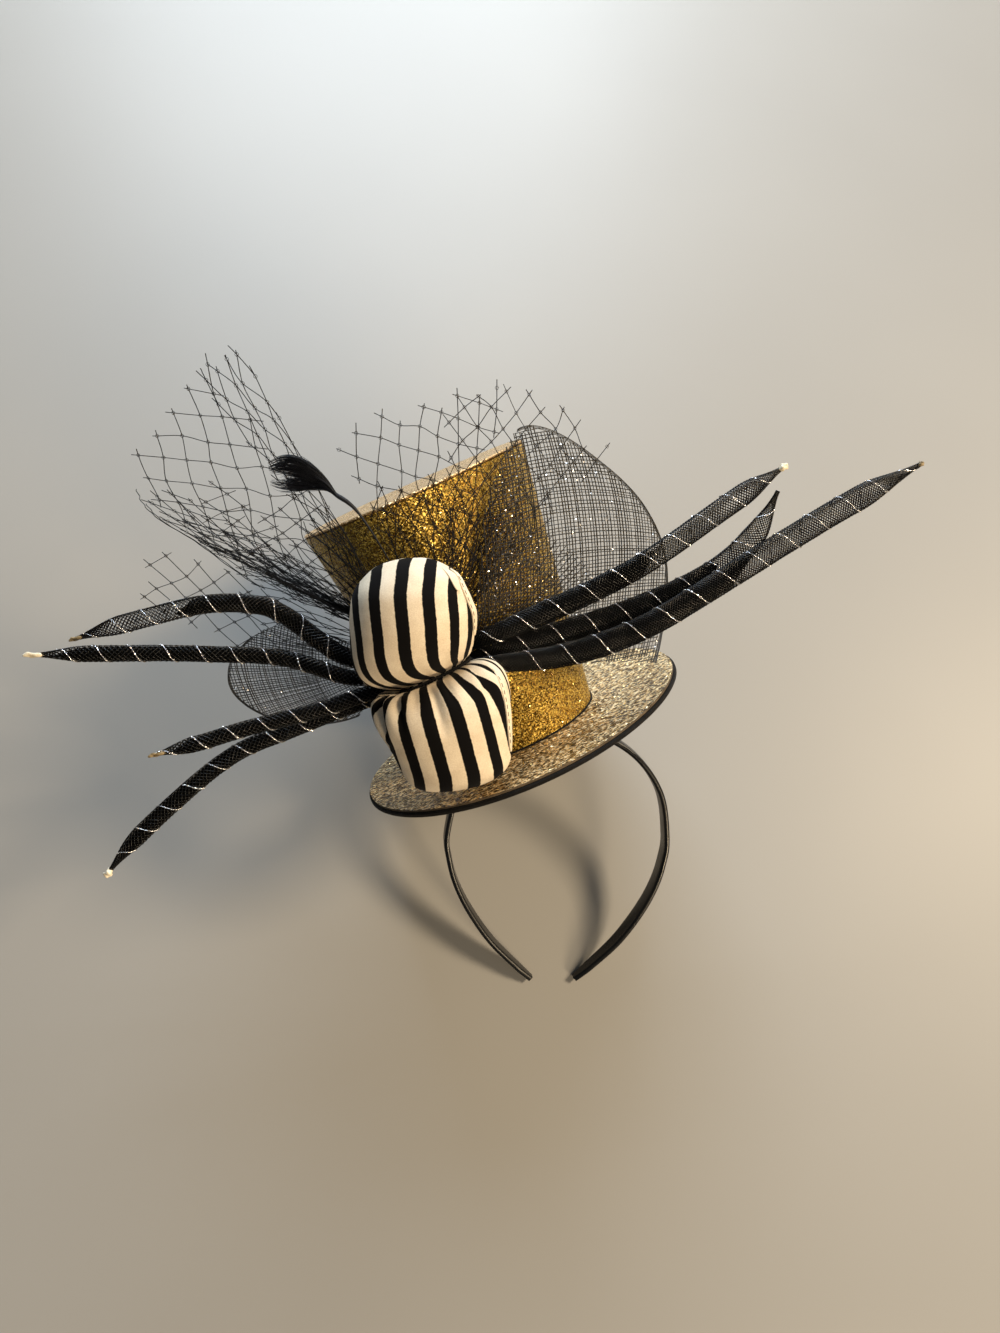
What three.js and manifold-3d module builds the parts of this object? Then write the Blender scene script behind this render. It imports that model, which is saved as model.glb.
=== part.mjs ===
// A costume headpiece lying on a table: a mini top hat, set at a slant on a springy headband, with a
// stuffed striped bow, braided mesh tubes, straw-weave fans, a net veil and a feather at its front.
//
// Millimetres. The pieces are laid out as worn, about the middle of the brim's top: "right" is the
// viewer's right, "back" is away from the viewer and "up" is along the headband. The hat has axes of its
// own: "across" its brim and "height" up its crown. At the end the whole thing is laid on its back.

import * as THREE from "three";
import { mergeVertices } from "three/addons/utils/BufferGeometryUtils.js";
import Module from "manifold-3d";

// Clearance kept between neighbouring pieces.
const GAP = 0.3;

// How the headpiece stands and lies, in degrees.
const HAT_TILT = 27;
const LEAN = 29.7;

// Brim: a felt disc with glitter cloth on top, its sides curled up a little.
const BRIM_RADIUS = 79.6;
const FELT_THICK = 2;
const COVER_RADIUS = 78.6;
const COVER_HOLE = 34;
const COVER_THICK = 1;
const BRIM_CURL = 1.6;
const BRIM_ROUND = 0.5;

// Crown: a hollow wall that flares upwards, closed by a flat round tip.
const CROWN_HEIGHT = 123.7;
const CROWN_BASE_RADIUS = 37.2;
const CROWN_TOP_RADIUS = 54;
const CROWN_THICK = 1.2;
const TIP_THICK = 1.2;
const TURNS = 56;

// Headband: an arc over the head and two legs that close in to the tips.
const BAND_WIDTH = 10;
const BAND_THICK = 2.8;
const BAND_ARC_RADIUS = 55;
const BAND_SHIFT = 22.6;
const BAND_SWING = 3;
const BAND_TIP_WIDTH = 7;
const BAND_TAPER = 0.12;
const BAND_END = 0.35;
const BAND_END_GROWTH = 3;
const BAND_ARC_STEPS = 7;
const BAND_STEPS = 46;
const BAND_LEG = [
  { drop: 14, half: 53.8 },
  { drop: 27, half: 50.2 },
  { drop: 41, half: 43.4 },
  { drop: 57, half: 32.6 },
  { drop: 70.5, half: 19.8 },
  { drop: 78.5, half: 11.4 },
];

// Bow: sections along each puff from the waist outwards, with half width, half depth, middle depth, slant in
// degrees and a further shift to the left.
const WAIST = { right: -44, back: -63, up: 35.6 };
const WAIST_SLANT = 25;
const PUFF_SIDES = 24;
const GATHERS = 8;
const GATHER_DEPTH = 0.07;
const GATHER_RISE = { from: 2, to: 5 };
const GATHER_FADE = { from: 4, to: 22 };
const PUFF_UPPER = [
  { along: 0.4, half: 15.8, deep: 5, back: -63, slant: 25, left: 0 },
  { along: 2.6, half: 16.2, deep: 5.4, back: -63, slant: 25, left: 0 },
  { along: 4.6, half: 20.6, deep: 10, back: -66, slant: 24, left: 1 },
  { along: 9, half: 23.6, deep: 14.5, back: -69, slant: 22, left: 2.5 },
  { along: 17, half: 25, deep: 18, back: -71, slant: 18, left: 4 },
  { along: 28, half: 25.2, deep: 19, back: -71.5, slant: 14, left: 5 },
  { along: 38, half: 23, deep: 17.4, back: -71.5, slant: 11, left: 5 },
  { along: 46, half: 17.5, deep: 13, back: -71, slant: 9, left: 4.5 },
  { along: 51, half: 10.5, deep: 7.6, back: -70.5, slant: 8, left: 4 },
  { along: 53, half: 3, deep: 2, back: -70, slant: 8, left: 4 },
];
const PUFF_LOWER = [
  { along: -0.4, half: 15.8, deep: 5, back: -63, slant: 25, left: 0 },
  { along: -2.6, half: 16.2, deep: 5.4, back: -63, slant: 25, left: 0 },
  { along: -4.6, half: 20.4, deep: 9.5, back: -65.5, slant: 23, left: 0 },
  { along: -9, half: 24, deep: 13.5, back: -68, slant: 18, left: -0.5 },
  { along: -17, half: 27.2, deep: 17, back: -70, slant: 10, left: -1 },
  { along: -26, half: 28.4, deep: 18, back: -70, slant: 4, left: -1 },
  { along: -34, half: 27.6, deep: 16.4, back: -70, slant: 0, left: -1 },
  { along: -41, half: 24, deep: 12.4, back: -69, slant: -2, left: -1 },
  { along: -45, half: 16, deep: 7, back: -68.5, slant: -3, left: -1 },
  { along: -46.5, half: 5, deep: 2, back: -68, slant: -3, left: -1 },
];

// Cord drawn round the waist of the bow.
const TIE_HEIGHT = 3.6;
const TIE_HALF = 18.6;
const TIE_DEEP = 7.9;
const TIE_WALL = 1.7;
const TIE_STEPS = 16;

// Hidden pad that the trimmings are sewn to, between the crown and the bow.
const PAD = { left: -58, right: -29, low: 26, high: 57, front: 2 };
const PAD_ROWS = 6;

// Trimmings spread in front of the crown. Past it they sweep back with this slope.
const SWEEP = 0.6;
const FAN_START = 6;
const FAN_ROWS = 8;
const FAN_COLUMNS = 12;

// Fans: angle from up towards the left in degrees, reach from the root, extra distance forward at the rim.
const FANS = {
  net_left: {
    root: { right: -56, up: 46 }, front: 2.9, thick: 1, folds: 3, ripple: 5, bulge: 0,
    rim: [
      { angle: 31, reach: 136, forward: 0 },
      { angle: 43, reach: 138, forward: 0 },
      { angle: 53, reach: 136, forward: 0 },
      { angle: 61, reach: 134, forward: 0 },
      { angle: 68, reach: 118, forward: 0 },
      { angle: 76, reach: 82, forward: 0 },
    ],
  },
  net_low: {
    root: { right: -60, up: 42 }, front: 4.3, thick: 1, folds: 2, ripple: 0, bulge: 0,
    rim: [
      { angle: 69, reach: 102, forward: 0 },
      { angle: 74, reach: 114, forward: 0 },
      { angle: 79, reach: 119, forward: 0 },
      { angle: 85, reach: 116, forward: 0 },
      { angle: 92, reach: 90, forward: 0 },
    ],
  },
  net_crown: {
    root: { right: -42, up: 50 }, front: 2.9, thick: 1, folds: 3, ripple: 0, bulge: 0,
    rim: [
      { angle: -41, reach: 109, forward: 0 },
      { angle: -25, reach: 108, forward: 0 },
      { angle: -13, reach: 107, forward: 0 },
      { angle: 4, reach: 99, forward: 0 },
      { angle: 22, reach: 96, forward: 0 },
      { angle: 33, reach: 92, forward: 0 },
    ],
  },
  sinamay_right: {
    root: { right: -30, up: 40 }, front: 4.3, thick: 1, folds: 1, ripple: 0, bulge: 7,
    rim: [
      { angle: -2, reach: 62, forward: 0 },
      { angle: -6, reach: 88, forward: 0 },
      { angle: -12, reach: 102, forward: 0 },
      { angle: -33, reach: 103, forward: 0 },
      { angle: -51, reach: 105, forward: 0 },
      { angle: -65, reach: 103, forward: 2 },
      { angle: -81, reach: 92, forward: 12 },
      { angle: -92, reach: 85, forward: 20 },
      { angle: -100, reach: 78, forward: 32 },
    ],
  },
  sinamay_left: {
    root: { right: -60, up: 36 }, front: 5.7, thick: 1, folds: 1, ripple: 0, bulge: 3,
    rim: [
      { angle: 72, reach: 44, forward: 0 },
      { angle: 79, reach: 57, forward: 0 },
      { angle: 90, reach: 70, forward: 0 },
      { angle: 100, reach: 79, forward: 0 },
      { angle: 110, reach: 80, forward: 0 },
      { angle: 123, reach: 68, forward: 0 },
      { angle: 140, reach: 45, forward: 0 },
      { angle: 150, reach: 33, forward: 0 },
    ],
  },
};

// Braided tubes: the path of each from behind the bow to its pinched tip.
const TUBE_WIDTH = 8.2;
const TUBE_DEEP = 4.8;
const TUBE_ROOT = 0.6;
const TUBE_SWELL = 0.28;
const TUBE_TAPER = 0.14;
const TUBE_TIP = 0.16;
const TUBE_SIDES = 8;
const TUBE_STEPS = 18;
const TUBES = {
  crin_a: [
    { right: -47, back: -43.9, up: 41.5 },
    { right: -79, back: -49.5, up: 39.5 },
    { right: -107, back: -50.5, up: 57 },
    { right: -121, back: -50, up: 61 },
    { right: -141.5, back: -49, up: 59.5 },
    { right: -171, back: -47, up: 50.5 },
    { right: -193, back: -46, up: 42.5 },
  ],
  crin_b: [
    { right: -47, back: -41.6, up: 34.6 },
    { right: -76.5, back: -55, up: 32.5 },
    { right: -105.5, back: -54, up: 39.5 },
    { right: -134.5, back: -55, up: 40.5 },
    { right: -163.5, back: -56, up: 40 },
    { right: -206.5, back: -58, up: 38 },
  ],
  crin_c: [
    { right: -47, back: -52.6, up: 34 },
    { right: -74.5, back: -60, up: 26.5 },
    { right: -90, back: -61, up: 20.5 },
    { right: -119, back: -64, up: 12.5 },
    { right: -138, back: -67, up: 6.5 },
    { right: -156, back: -70, up: 1.5 },
  ],
  crin_d: [
    { right: -47, back: -39.7, up: 27.8 },
    { right: -73.5, back: -52, up: 22 },
    { right: -104, back: -54, up: 9 },
    { right: -127, back: -56, up: -2 },
    { right: -150, back: -59, up: -22 },
    { right: -168, back: -61, up: -41 },
    { right: -177, back: -62, up: -53.5 },
  ],
  crin_e: [
    { right: -38, back: -46.6, up: 44 },
    { right: -19, back: -56.5, up: 54.5 },
    { right: 9.5, back: -56, up: 68.5 },
    { right: 28.5, back: -53, up: 78 },
    { right: 47, back: -49, up: 89 },
    { right: 78, back: -44, up: 112 },
    { right: 102.5, back: -40, up: 129.5 },
  ],
  crin_f: [
    { right: -38, back: -44.5, up: 35.6 },
    { right: -19.5, back: -54, up: 45.5 },
    { right: 7.5, back: -54.5, up: 55 },
    { right: 32.5, back: -52.5, up: 63.5 },
    { right: 58, back: -51, up: 75 },
    { right: 75.5, back: -50.5, up: 86 },
    { right: 88, back: -51.5, up: 100 },
    { right: 95, back: -54, up: 119 },
  ],
  crin_g: [
    { right: -38, back: -52.7, up: 37.6 },
    { right: -19.5, back: -58.5, up: 41.6 },
    { right: 7, back: -58.5, up: 46 },
    { right: 29.5, back: -58, up: 53.5 },
    { right: 48.5, back: -57, up: 63 },
    { right: 67.5, back: -56, up: 75.5 },
    { right: 118, back: -53, up: 109.5 },
    { right: 158.5, back: -50, up: 134 },
  ],
};

// Feather: a bare stem and a short plume beyond its end.
const PLUME_FRONT = 4.4;
const PLUME_CURL = 6;
const STEM_RADIUS = 0.6;
const STEM_SIDES = 6;
const STEM_STEPS = 12;
const STEM = [
  { right: -49, up: 46, front: 3 },
  { right: -53, up: 56, front: 3.3 },
  { right: -60.5, up: 74, front: 4.4 },
  { right: -78, up: 99.5, front: 4.4 },
  { right: -84, up: 104.2, front: 4.4 },
  { right: -90, up: 107.6, front: 4.4 },
];
const PLUME_START = { right: -90.8, up: 108 };
const PLUME_END = { right: -117.5, up: 116.5 };
const PLUME_THICK = 1.2;
const PLUME_HALF = [
  { along: 0, half: 0.8 },
  { along: 0.25, half: 4.2 },
  { along: 0.55, half: 8 },
  { along: 0.8, half: 9 },
  { along: 1, half: 3 },
];
const PLUME_ROWS = 6;

// Size of the block of table that the felt is pressed against.
const TABLE_SIDE = 600;
const TABLE_DEPTH = 100;

const wasm = await Module();
wasm.setup();
const radians = THREE.MathUtils.degToRad;
const lerp = THREE.MathUtils.lerp;
const smoothstep = THREE.MathUtils.smoothstep;
const point = (right, back, up) => new THREE.Vector3(right, back, up);
const tiltCos = Math.cos(radians(HAT_TILT));
const tiltSin = Math.sin(radians(HAT_TILT));

// A closed geometry from points and triangles, with its faces turned outwards.
function solid(points, faces) {
  const geometry = new THREE.BufferGeometry().setFromPoints(points);
  let volume = 0;
  for (let f = 0; f < faces.length; f += 3) {
    const [a, b, c] = [points[faces[f]], points[faces[f + 1]], points[faces[f + 2]]];
    volume += a.dot(b.clone().cross(c));
  }
  geometry.setIndex(volume > 0 ? faces : faces.slice().reverse());
  return geometry;
}

// Rings of equal length joined in turn, with a fan of triangles over each end.
function solidFromRings(rings) {
  const count = rings[0].length;
  const points = rings.flat();
  const faces = [];
  for (let ring = 0; ring + 1 < rings.length; ring += 1) {
    for (let k = 0; k < count; k += 1) {
      const here = ring * count + k;
      const beside = ring * count + ((k + 1) % count);
      faces.push(here, beside, beside + count, here, beside + count, here + count);
    }
  }
  const lastStart = (rings.length - 1) * count;
  for (const [start, flip] of [[0, true], [lastStart, false]]) {
    const middle = points.length;
    const sum = point(0, 0, 0);
    for (let k = 0; k < count; k += 1) sum.add(points[start + k]);
    points.push(sum.divideScalar(count));
    for (let k = 0; k < count; k += 1) {
      const here = start + k;
      const beside = start + ((k + 1) % count);
      faces.push(...(flip ? [beside, here, middle] : [here, beside, middle]));
    }
  }
  return solid(points, faces);
}

// A wall between a front and a rear surface, each a function of two numbers from 0 to 1.
function slab(front, rear, rows, columns) {
  const points = [];
  for (const surface of [front, rear]) {
    for (let i = 0; i <= rows; i += 1) {
      for (let j = 0; j <= columns; j += 1) points.push(surface(i / rows, j / columns));
    }
  }
  const sheet = (rows + 1) * (columns + 1);
  const at = (i, j) => i * (columns + 1) + j;
  const faces = [];
  const quad = (a, b, c, d) => faces.push(a, b, c, a, c, d);
  for (let i = 0; i < rows; i += 1) {
    for (let j = 0; j < columns; j += 1) {
      const corners = [at(i, j), at(i + 1, j), at(i + 1, j + 1), at(i, j + 1)];
      quad(...corners);
      quad(...corners.map((k) => k + sheet).reverse());
    }
  }
  const edge = [];
  for (let j = 0; j < columns; j += 1) edge.push(at(0, j));
  for (let i = 0; i < rows; i += 1) edge.push(at(i, columns));
  for (let j = columns; j > 0; j -= 1) edge.push(at(rows, j));
  for (let i = rows; i > 0; i -= 1) edge.push(at(i, 0));
  edge.forEach((here, k) => {
    const next = edge[(k + 1) % edge.length];
    quad(here, next, next + sheet, here + sheet);
  });
  return solid(points, faces);
}

// A turned shape from a profile of radius and height, standing on the hat's own axis.
function turned(profile) {
  const geometry = new THREE.LatheGeometry(profile.map(([r, h]) => new THREE.Vector2(r, h)), TURNS);
  geometry.rotateX(Math.PI / 2);
  return geometry;
}

function bareMesh(geometry) {
  for (const name of Object.keys(geometry.attributes)) {
    if (name !== "position") geometry.deleteAttribute(name);
  }
  return mergeVertices(geometry);
}

function toManifold(geometry) {
  const bare = bareMesh(geometry);
  return new wasm.Manifold(new wasm.Mesh({
    numProp: 3,
    vertProperties: new Float32Array(bare.attributes.position.array),
    triVerts: new Uint32Array(bare.index.array),
  }));
}

function fromManifold(manifold) {
  const mesh = manifold.getMesh();
  const geometry = new THREE.BufferGeometry();
  geometry.setAttribute("position", new THREE.BufferAttribute(new Float32Array(mesh.vertProperties), 3));
  geometry.setIndex(new THREE.BufferAttribute(new Uint32Array(mesh.triVerts), 1));
  return geometry;
}

// The sides of the brim curl up from the foot of the crown to the edge.
function curlBrim(geometry) {
  const position = geometry.attributes.position;
  for (let k = 0; k < position.count; k += 1) {
    const radius = Math.hypot(position.getX(k), position.getY(k));
    const out = Math.max(0, (radius - CROWN_BASE_RADIUS) / (BRIM_RADIUS - CROWN_BASE_RADIUS));
    const side = radius > 0 ? position.getX(k) / radius : 0;
    position.setZ(k, position.getZ(k) + BRIM_CURL * (out * side) ** 2);
  }
  return geometry;
}

// A flat disc or ring with a rounded outer edge, between two heights.
function discProfile(hole, radius, low, high) {
  const inner = radius - BRIM_ROUND;
  const middle = (CROWN_BASE_RADIUS + radius) / 2;
  const foot = CROWN_BASE_RADIUS;
  const bottom = [[hole, low], [foot, low], [middle, low], [inner, low], [radius, low + BRIM_ROUND / 2]];
  const top = [[radius, high - BRIM_ROUND / 2], [inner, high], [middle, high], [foot, high], [hole, high]];
  return hole > 0 ? [...bottom, ...top, [hole, low]] : [...bottom, ...top];
}

function crownRadius(height) {
  return lerp(CROWN_BASE_RADIUS, CROWN_TOP_RADIUS, height / CROWN_HEIGHT);
}

function onHat(right, up) {
  return { across: right * tiltCos + up * tiltSin, height: up * tiltCos - right * tiltSin };
}

// Where the crown's front surface lies, and where trimmings lie in front of it.
function crownBack(right, up, front) {
  const { across, height } = onHat(right, up);
  return -Math.sqrt((crownRadius(height) + front) ** 2 - across ** 2);
}

function trimBack(right, up, front) {
  const { across, height } = onHat(right, up);
  const radius = crownRadius(height);
  const sweep = SWEEP * Math.hypot(SWEEP * radius, across) - SWEEP ** 2 * radius;
  return sweep - radius - front;
}

// Hat pieces, in the hat's own axes.
const feltTop = -COVER_THICK - GAP;
const feltLow = feltTop - FELT_THICK;
const wallTop = CROWN_HEIGHT - TIP_THICK - GAP;
const wallLowRadius = crownRadius(GAP);
const wallTopRadius = crownRadius(wallTop);
const crownWallProfile = [
  [wallLowRadius - CROWN_THICK, GAP],
  [wallLowRadius, GAP],
  [wallTopRadius, wallTop],
  [wallTopRadius - CROWN_THICK, wallTop],
  [wallLowRadius - CROWN_THICK, GAP],
];
const tipLow = wallTop + GAP;
const tipProfile = [
  [0, tipLow],
  [CROWN_TOP_RADIUS - BRIM_ROUND, tipLow],
  [CROWN_TOP_RADIUS, tipLow + BRIM_ROUND],
  [CROWN_TOP_RADIUS, CROWN_HEIGHT - BRIM_ROUND],
  [CROWN_TOP_RADIUS - BRIM_ROUND, CROWN_HEIGHT],
  [0, CROWN_HEIGHT],
];
const hatPieces = {
  brim_felt: curlBrim(turned(discProfile(0, BRIM_RADIUS, feltLow, feltTop))),
  brim_cover: curlBrim(turned(discProfile(COVER_HOLE, COVER_RADIUS, -COVER_THICK, 0))),
  crown_wall: turned(crownWallProfile),
  crown_tip: turned(tipProfile),
};

// Headband: its arc just touches the underside of the felt.
function makeHeadband() {
  const outer = BAND_ARC_RADIUS + BAND_THICK / 2;
  const centreUp = (feltLow - GAP - outer + BAND_SHIFT * tiltSin) / tiltCos;
  const leg = (side) => BAND_LEG.map(({ drop, half }) => {
    const swing = (BAND_SWING * drop) / BAND_LEG.at(-1).drop;
    return point(BAND_SHIFT + swing + side * half, 0, centreUp - drop);
  });
  const arc = [];
  for (let k = 0; k <= BAND_ARC_STEPS; k += 1) {
    const angle = Math.PI * (1 - k / BAND_ARC_STEPS);
    const across = BAND_ARC_RADIUS * Math.cos(angle);
    arc.push(point(BAND_SHIFT + across, 0, centreUp + BAND_ARC_RADIUS * Math.sin(angle)));
  }
  const path = new THREE.CatmullRomCurve3([...leg(-1).reverse(), ...arc, ...leg(1)]);
  const corner = BAND_THICK / 4;
  const section = [];
  for (const [across, deep] of [[1, 1], [-1, 1], [-1, -1], [1, -1]]) {
    const turnsFirst = across === deep;
    const long = { across, deep, cutAcross: 0, cutDeep: corner };
    const short = { across, deep, cutAcross: corner, cutDeep: 0 };
    section.push(...(turnsFirst ? [long, short] : [short, long]));
  }
  const rings = [];
  for (let k = 0; k <= BAND_STEPS; k += 1) {
    const t = k / BAND_STEPS;
    const fromTip = Math.min(t, 1 - t) / BAND_TAPER;
    const round = Math.sqrt(Math.min(1, BAND_END + fromTip * BAND_END_GROWTH));
    const width = lerp(BAND_TIP_WIDTH, BAND_WIDTH, smoothstep(fromTip, 0, 1)) * round;
    const middle = path.getPointAt(t);
    const tangent = path.getTangentAt(t);
    const outward = point(-tangent.z, 0, tangent.x);
    rings.push(section.map(({ across, deep, cutAcross, cutDeep }) => {
      const thick = deep * (BAND_THICK / 2 - cutDeep);
      const wide = across * (width / 2 - cutAcross);
      return middle.clone().addScaledVector(outward, thick).add(point(0, wide, 0));
    }));
  }
  return solidFromRings(rings);
}

// One stuffed half of the bow, gathered at the waist.
function makePuff(sections) {
  const rings = sections.map(({ along, half, deep, back, slant, left }) => {
    const turn = radians(slant);
    const rise = smoothstep(Math.abs(along), GATHER_RISE.from, GATHER_RISE.to);
    const fade = 1 - smoothstep(Math.abs(along), GATHER_FADE.from, GATHER_FADE.to);
    const gather = GATHER_DEPTH * rise * fade;
    const right = WAIST.right - left - along * Math.sin(turn);
    const middle = point(right, back, WAIST.up + along * Math.cos(turn));
    const ring = [];
    for (let k = 0; k < PUFF_SIDES; k += 1) {
      const angle = (2 * Math.PI * k) / PUFF_SIDES;
      const fold = 1 + gather * Math.cos(GATHERS * angle);
      const across = half * fold * Math.cos(angle);
      const depth = deep * fold * Math.sin(angle);
      ring.push(middle.clone().add(point(across * Math.cos(turn), depth, across * Math.sin(turn))));
    }
    return ring;
  });
  return solidFromRings(rings);
}

// The cord round the waist: a flat oval ring.
function makeTie() {
  const ring = new THREE.Shape().absellipse(0, 0, TIE_HALF, TIE_DEEP, 0, 2 * Math.PI);
  ring.holes.push(new THREE.Path().absellipse(0, 0, TIE_HALF - TIE_WALL, TIE_DEEP - TIE_WALL, 0, 2 * Math.PI));
  const options = { depth: TIE_HEIGHT, bevelEnabled: false, curveSegments: 2 * TIE_STEPS };
  const geometry = new THREE.ExtrudeGeometry(ring, options);
  geometry.translate(0, 0, -TIE_HEIGHT / 2);
  geometry.rotateY(-radians(WAIST_SLANT));
  geometry.translate(WAIST.right, WAIST.back, WAIST.up);
  return geometry;
}

function makePad() {
  const spot = (s, t) => ({ right: lerp(PAD.left, PAD.right, t), up: lerp(PAD.low, PAD.high, s) });
  const front = (s, t) => {
    const { right, up } = spot(s, t);
    return point(right, trimBack(right, up, PAD.front), up);
  };
  const rear = (s, t) => {
    const { right, up } = spot(s, t);
    return point(right, crownBack(right, up, GAP), up);
  };
  return slab(front, rear, PAD_ROWS, PAD_ROWS);
}

// A fan of thin stuff, gathered at its root and spread to its rim.
function makeFan({ root, front, thick, folds, ripple, bulge, rim }) {
  const edge = new THREE.CatmullRomCurve3(rim.map((row) => point(row.angle, row.reach, row.forward)));
  const surface = (extra) => (s, t) => {
    const { x: angle, y: reach, z: forward } = edge.getPoint(t);
    const radius = lerp(FAN_START, reach, s);
    const right = root.right - radius * Math.sin(radians(angle));
    const up = root.up + radius * Math.cos(radians(angle));
    const middle = Math.sin(Math.PI * t);
    const fold = ripple * s * middle * Math.sin(2 * Math.PI * folds * t);
    const swell = bulge * middle * Math.sin(Math.PI * s);
    const ahead = front + extra + forward * s * s + fold + swell;
    return point(right, trimBack(right, up, ahead), up);
  };
  return slab(surface(thick / 2), surface(-thick / 2), FAN_ROWS, FAN_COLUMNS);
}

// A braided tube, drawn together at its root and pinched at its tip.
function makeTube(rows) {
  const path = new THREE.CatmullRomCurve3(rows.map(({ right, back, up }) => point(right, back, up)));
  const rings = [];
  for (let k = 0; k <= TUBE_STEPS; k += 1) {
    const t = k / TUBE_STEPS;
    const root = lerp(TUBE_ROOT, 1, smoothstep(t, 0, TUBE_SWELL));
    const tip = lerp(TUBE_TIP, 1, smoothstep(1 - t, 0, TUBE_TAPER));
    const tangent = path.getTangentAt(t);
    const across = tangent.clone().cross(point(0, 1, 0)).normalize();
    const deep = across.clone().cross(tangent);
    const middle = path.getPointAt(t);
    const ring = [];
    for (let side = 0; side < TUBE_SIDES; side += 1) {
      const angle = (2 * Math.PI * side) / TUBE_SIDES;
      const wide = (TUBE_WIDTH / 2) * root * tip * Math.cos(angle);
      const thick = (TUBE_DEEP / 2) * root * tip * Math.sin(angle);
      ring.push(middle.clone().addScaledVector(across, wide).addScaledVector(deep, thick));
    }
    rings.push(ring);
  }
  return solidFromRings(rings);
}

function makeStem() {
  const path = new THREE.CatmullRomCurve3(
    STEM.map(({ right, up, front }) => point(right, trimBack(right, up, front), up)),
  );
  const rings = [];
  for (let k = 0; k <= STEM_STEPS; k += 1) {
    const tangent = path.getTangentAt(k / STEM_STEPS);
    const across = tangent.clone().cross(point(0, 1, 0)).normalize();
    const deep = across.clone().cross(tangent);
    const ring = [];
    for (let side = 0; side < STEM_SIDES; side += 1) {
      const angle = (2 * Math.PI * side) / STEM_SIDES;
      const middle = path.getPointAt(k / STEM_STEPS);
      middle.addScaledVector(across, STEM_RADIUS * Math.cos(angle));
      ring.push(middle.addScaledVector(deep, STEM_RADIUS * Math.sin(angle)));
    }
    rings.push(ring);
  }
  return solidFromRings(rings);
}

function makePlume() {
  const outline = new THREE.SplineCurve(PLUME_HALF.map(({ along, half }) => new THREE.Vector2(along, half)));
  const length = Math.hypot(PLUME_END.right - PLUME_START.right, PLUME_END.up - PLUME_START.up);
  const dirRight = (PLUME_END.right - PLUME_START.right) / length;
  const dirUp = (PLUME_END.up - PLUME_START.up) / length;
  const surface = (extra) => (s, t) => {
    const { x: along, y: half } = outline.getPoint(s);
    const side = half * (2 * t - 1);
    const right = PLUME_START.right + dirRight * along * length - dirUp * side;
    const up = PLUME_START.up + dirUp * along * length + dirRight * side;
    const front = PLUME_FRONT + PLUME_CURL * along + extra;
    return point(right, trimBack(right, up, front), up);
  };
  return slab(surface(PLUME_THICK / 2), surface(-PLUME_THICK / 2), PLUME_ROWS, PLUME_ROWS);
}

const wornPieces = {
  headband: makeHeadband(),
  trim_base: makePad(),
  bow_puff_upper: makePuff(PUFF_UPPER),
  bow_puff_lower: makePuff(PUFF_LOWER),
  bow_tie: makeTie(),
  feather_quill: makeStem(),
  feather_vane: makePlume(),
};
for (const [name, rows] of Object.entries(TUBES)) wornPieces[name] = makeTube(rows);
for (const [name, fan] of Object.entries(FANS)) wornPieces[name] = makeFan(fan);

// Lay everything on its back, resting on the headband's tips and the back of the brim.
const tilt = new THREE.Matrix4().makeRotationY(-radians(HAT_TILT));
const recline = new THREE.Matrix4().makeRotationX(-radians(90 - LEAN));
for (const geometry of Object.values(hatPieces)) geometry.applyMatrix4(tilt);
const pieces = { ...hatPieces, ...wornPieces };
for (const geometry of Object.values(pieces)) geometry.applyMatrix4(recline);
pieces.headband.computeBoundingBox();
const tableHeight = pieces.headband.boundingBox.min.z;

// The felt and its cover are pressed flat where they rest on the table.
const table = new THREE.BoxGeometry(TABLE_SIDE, TABLE_SIDE, TABLE_DEPTH);
table.translate(0, 0, tableHeight - TABLE_DEPTH / 2);
for (const name of ["brim_felt", "brim_cover"]) {
  pieces[name] = fromManifold(toManifold(pieces[name]).subtract(toManifold(table.clone())));
}

// Looks: colour, roughness and metalness of each piece.
const LOOKS = {
  plastic: { color: 0x111012, roughness: 0.25, metalness: 0 },
  felt: { color: 0x161415, roughness: 0.95, metalness: 0 },
  glitter: { color: 0xb98a2c, roughness: 0.45, metalness: 0.8 },
  stripes: { color: 0xe6d2b0, roughness: 0.85, metalness: 0 },
  mesh: { color: 0x1a1a1c, roughness: 0.5, metalness: 0 },
  straw: { color: 0x2a2a2c, roughness: 0.7, metalness: 0 },
  net: { color: 0x202022, roughness: 0.7, metalness: 0 },
  plume: { color: 0x0f0f12, roughness: 0.8, metalness: 0 },
};
function lookOf(name) {
  if (name === "headband") return LOOKS.plastic;
  if (name === "brim_cover" || name.startsWith("crown")) return LOOKS.glitter;
  if (name.startsWith("bow_puff")) return LOOKS.stripes;
  if (name.startsWith("crin")) return LOOKS.mesh;
  if (name.startsWith("sinamay")) return LOOKS.straw;
  if (name.startsWith("net")) return LOOKS.net;
  if (name.startsWith("feather")) return LOOKS.plume;
  return LOOKS.felt;
}

const headpiece = new THREE.Group();
headpiece.name = "mini_top_hat_headband";
const bounds = new THREE.Box3();
for (const geometry of Object.values(pieces)) {
  geometry.computeBoundingBox();
  bounds.union(geometry.boundingBox);
}
const middle = bounds.getCenter(new THREE.Vector3());
for (const [name, geometry] of Object.entries(pieces)) {
  const shape = bareMesh(geometry);
  shape.translate(-middle.x, -middle.y, -bounds.min.z);
  shape.computeVertexNormals();
  const mesh = new THREE.Mesh(shape, new THREE.MeshStandardMaterial(lookOf(name)));
  mesh.name = name;
  headpiece.add(mesh);
}

export default headpiece;
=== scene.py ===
# %% [markdown]
# # A mini top hat on a headband
# The object is a costume headpiece lying on its back: a small gold top hat sewn at a slant to a springy
# headband, with a stuffed striped bow, braided mesh tubes, straw-weave fans, a net veil and a feather.
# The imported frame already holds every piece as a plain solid, in metres. This lesson puts the real
# surfaces, threads and finishes in the places that the frame gives.

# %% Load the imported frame
import math

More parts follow.
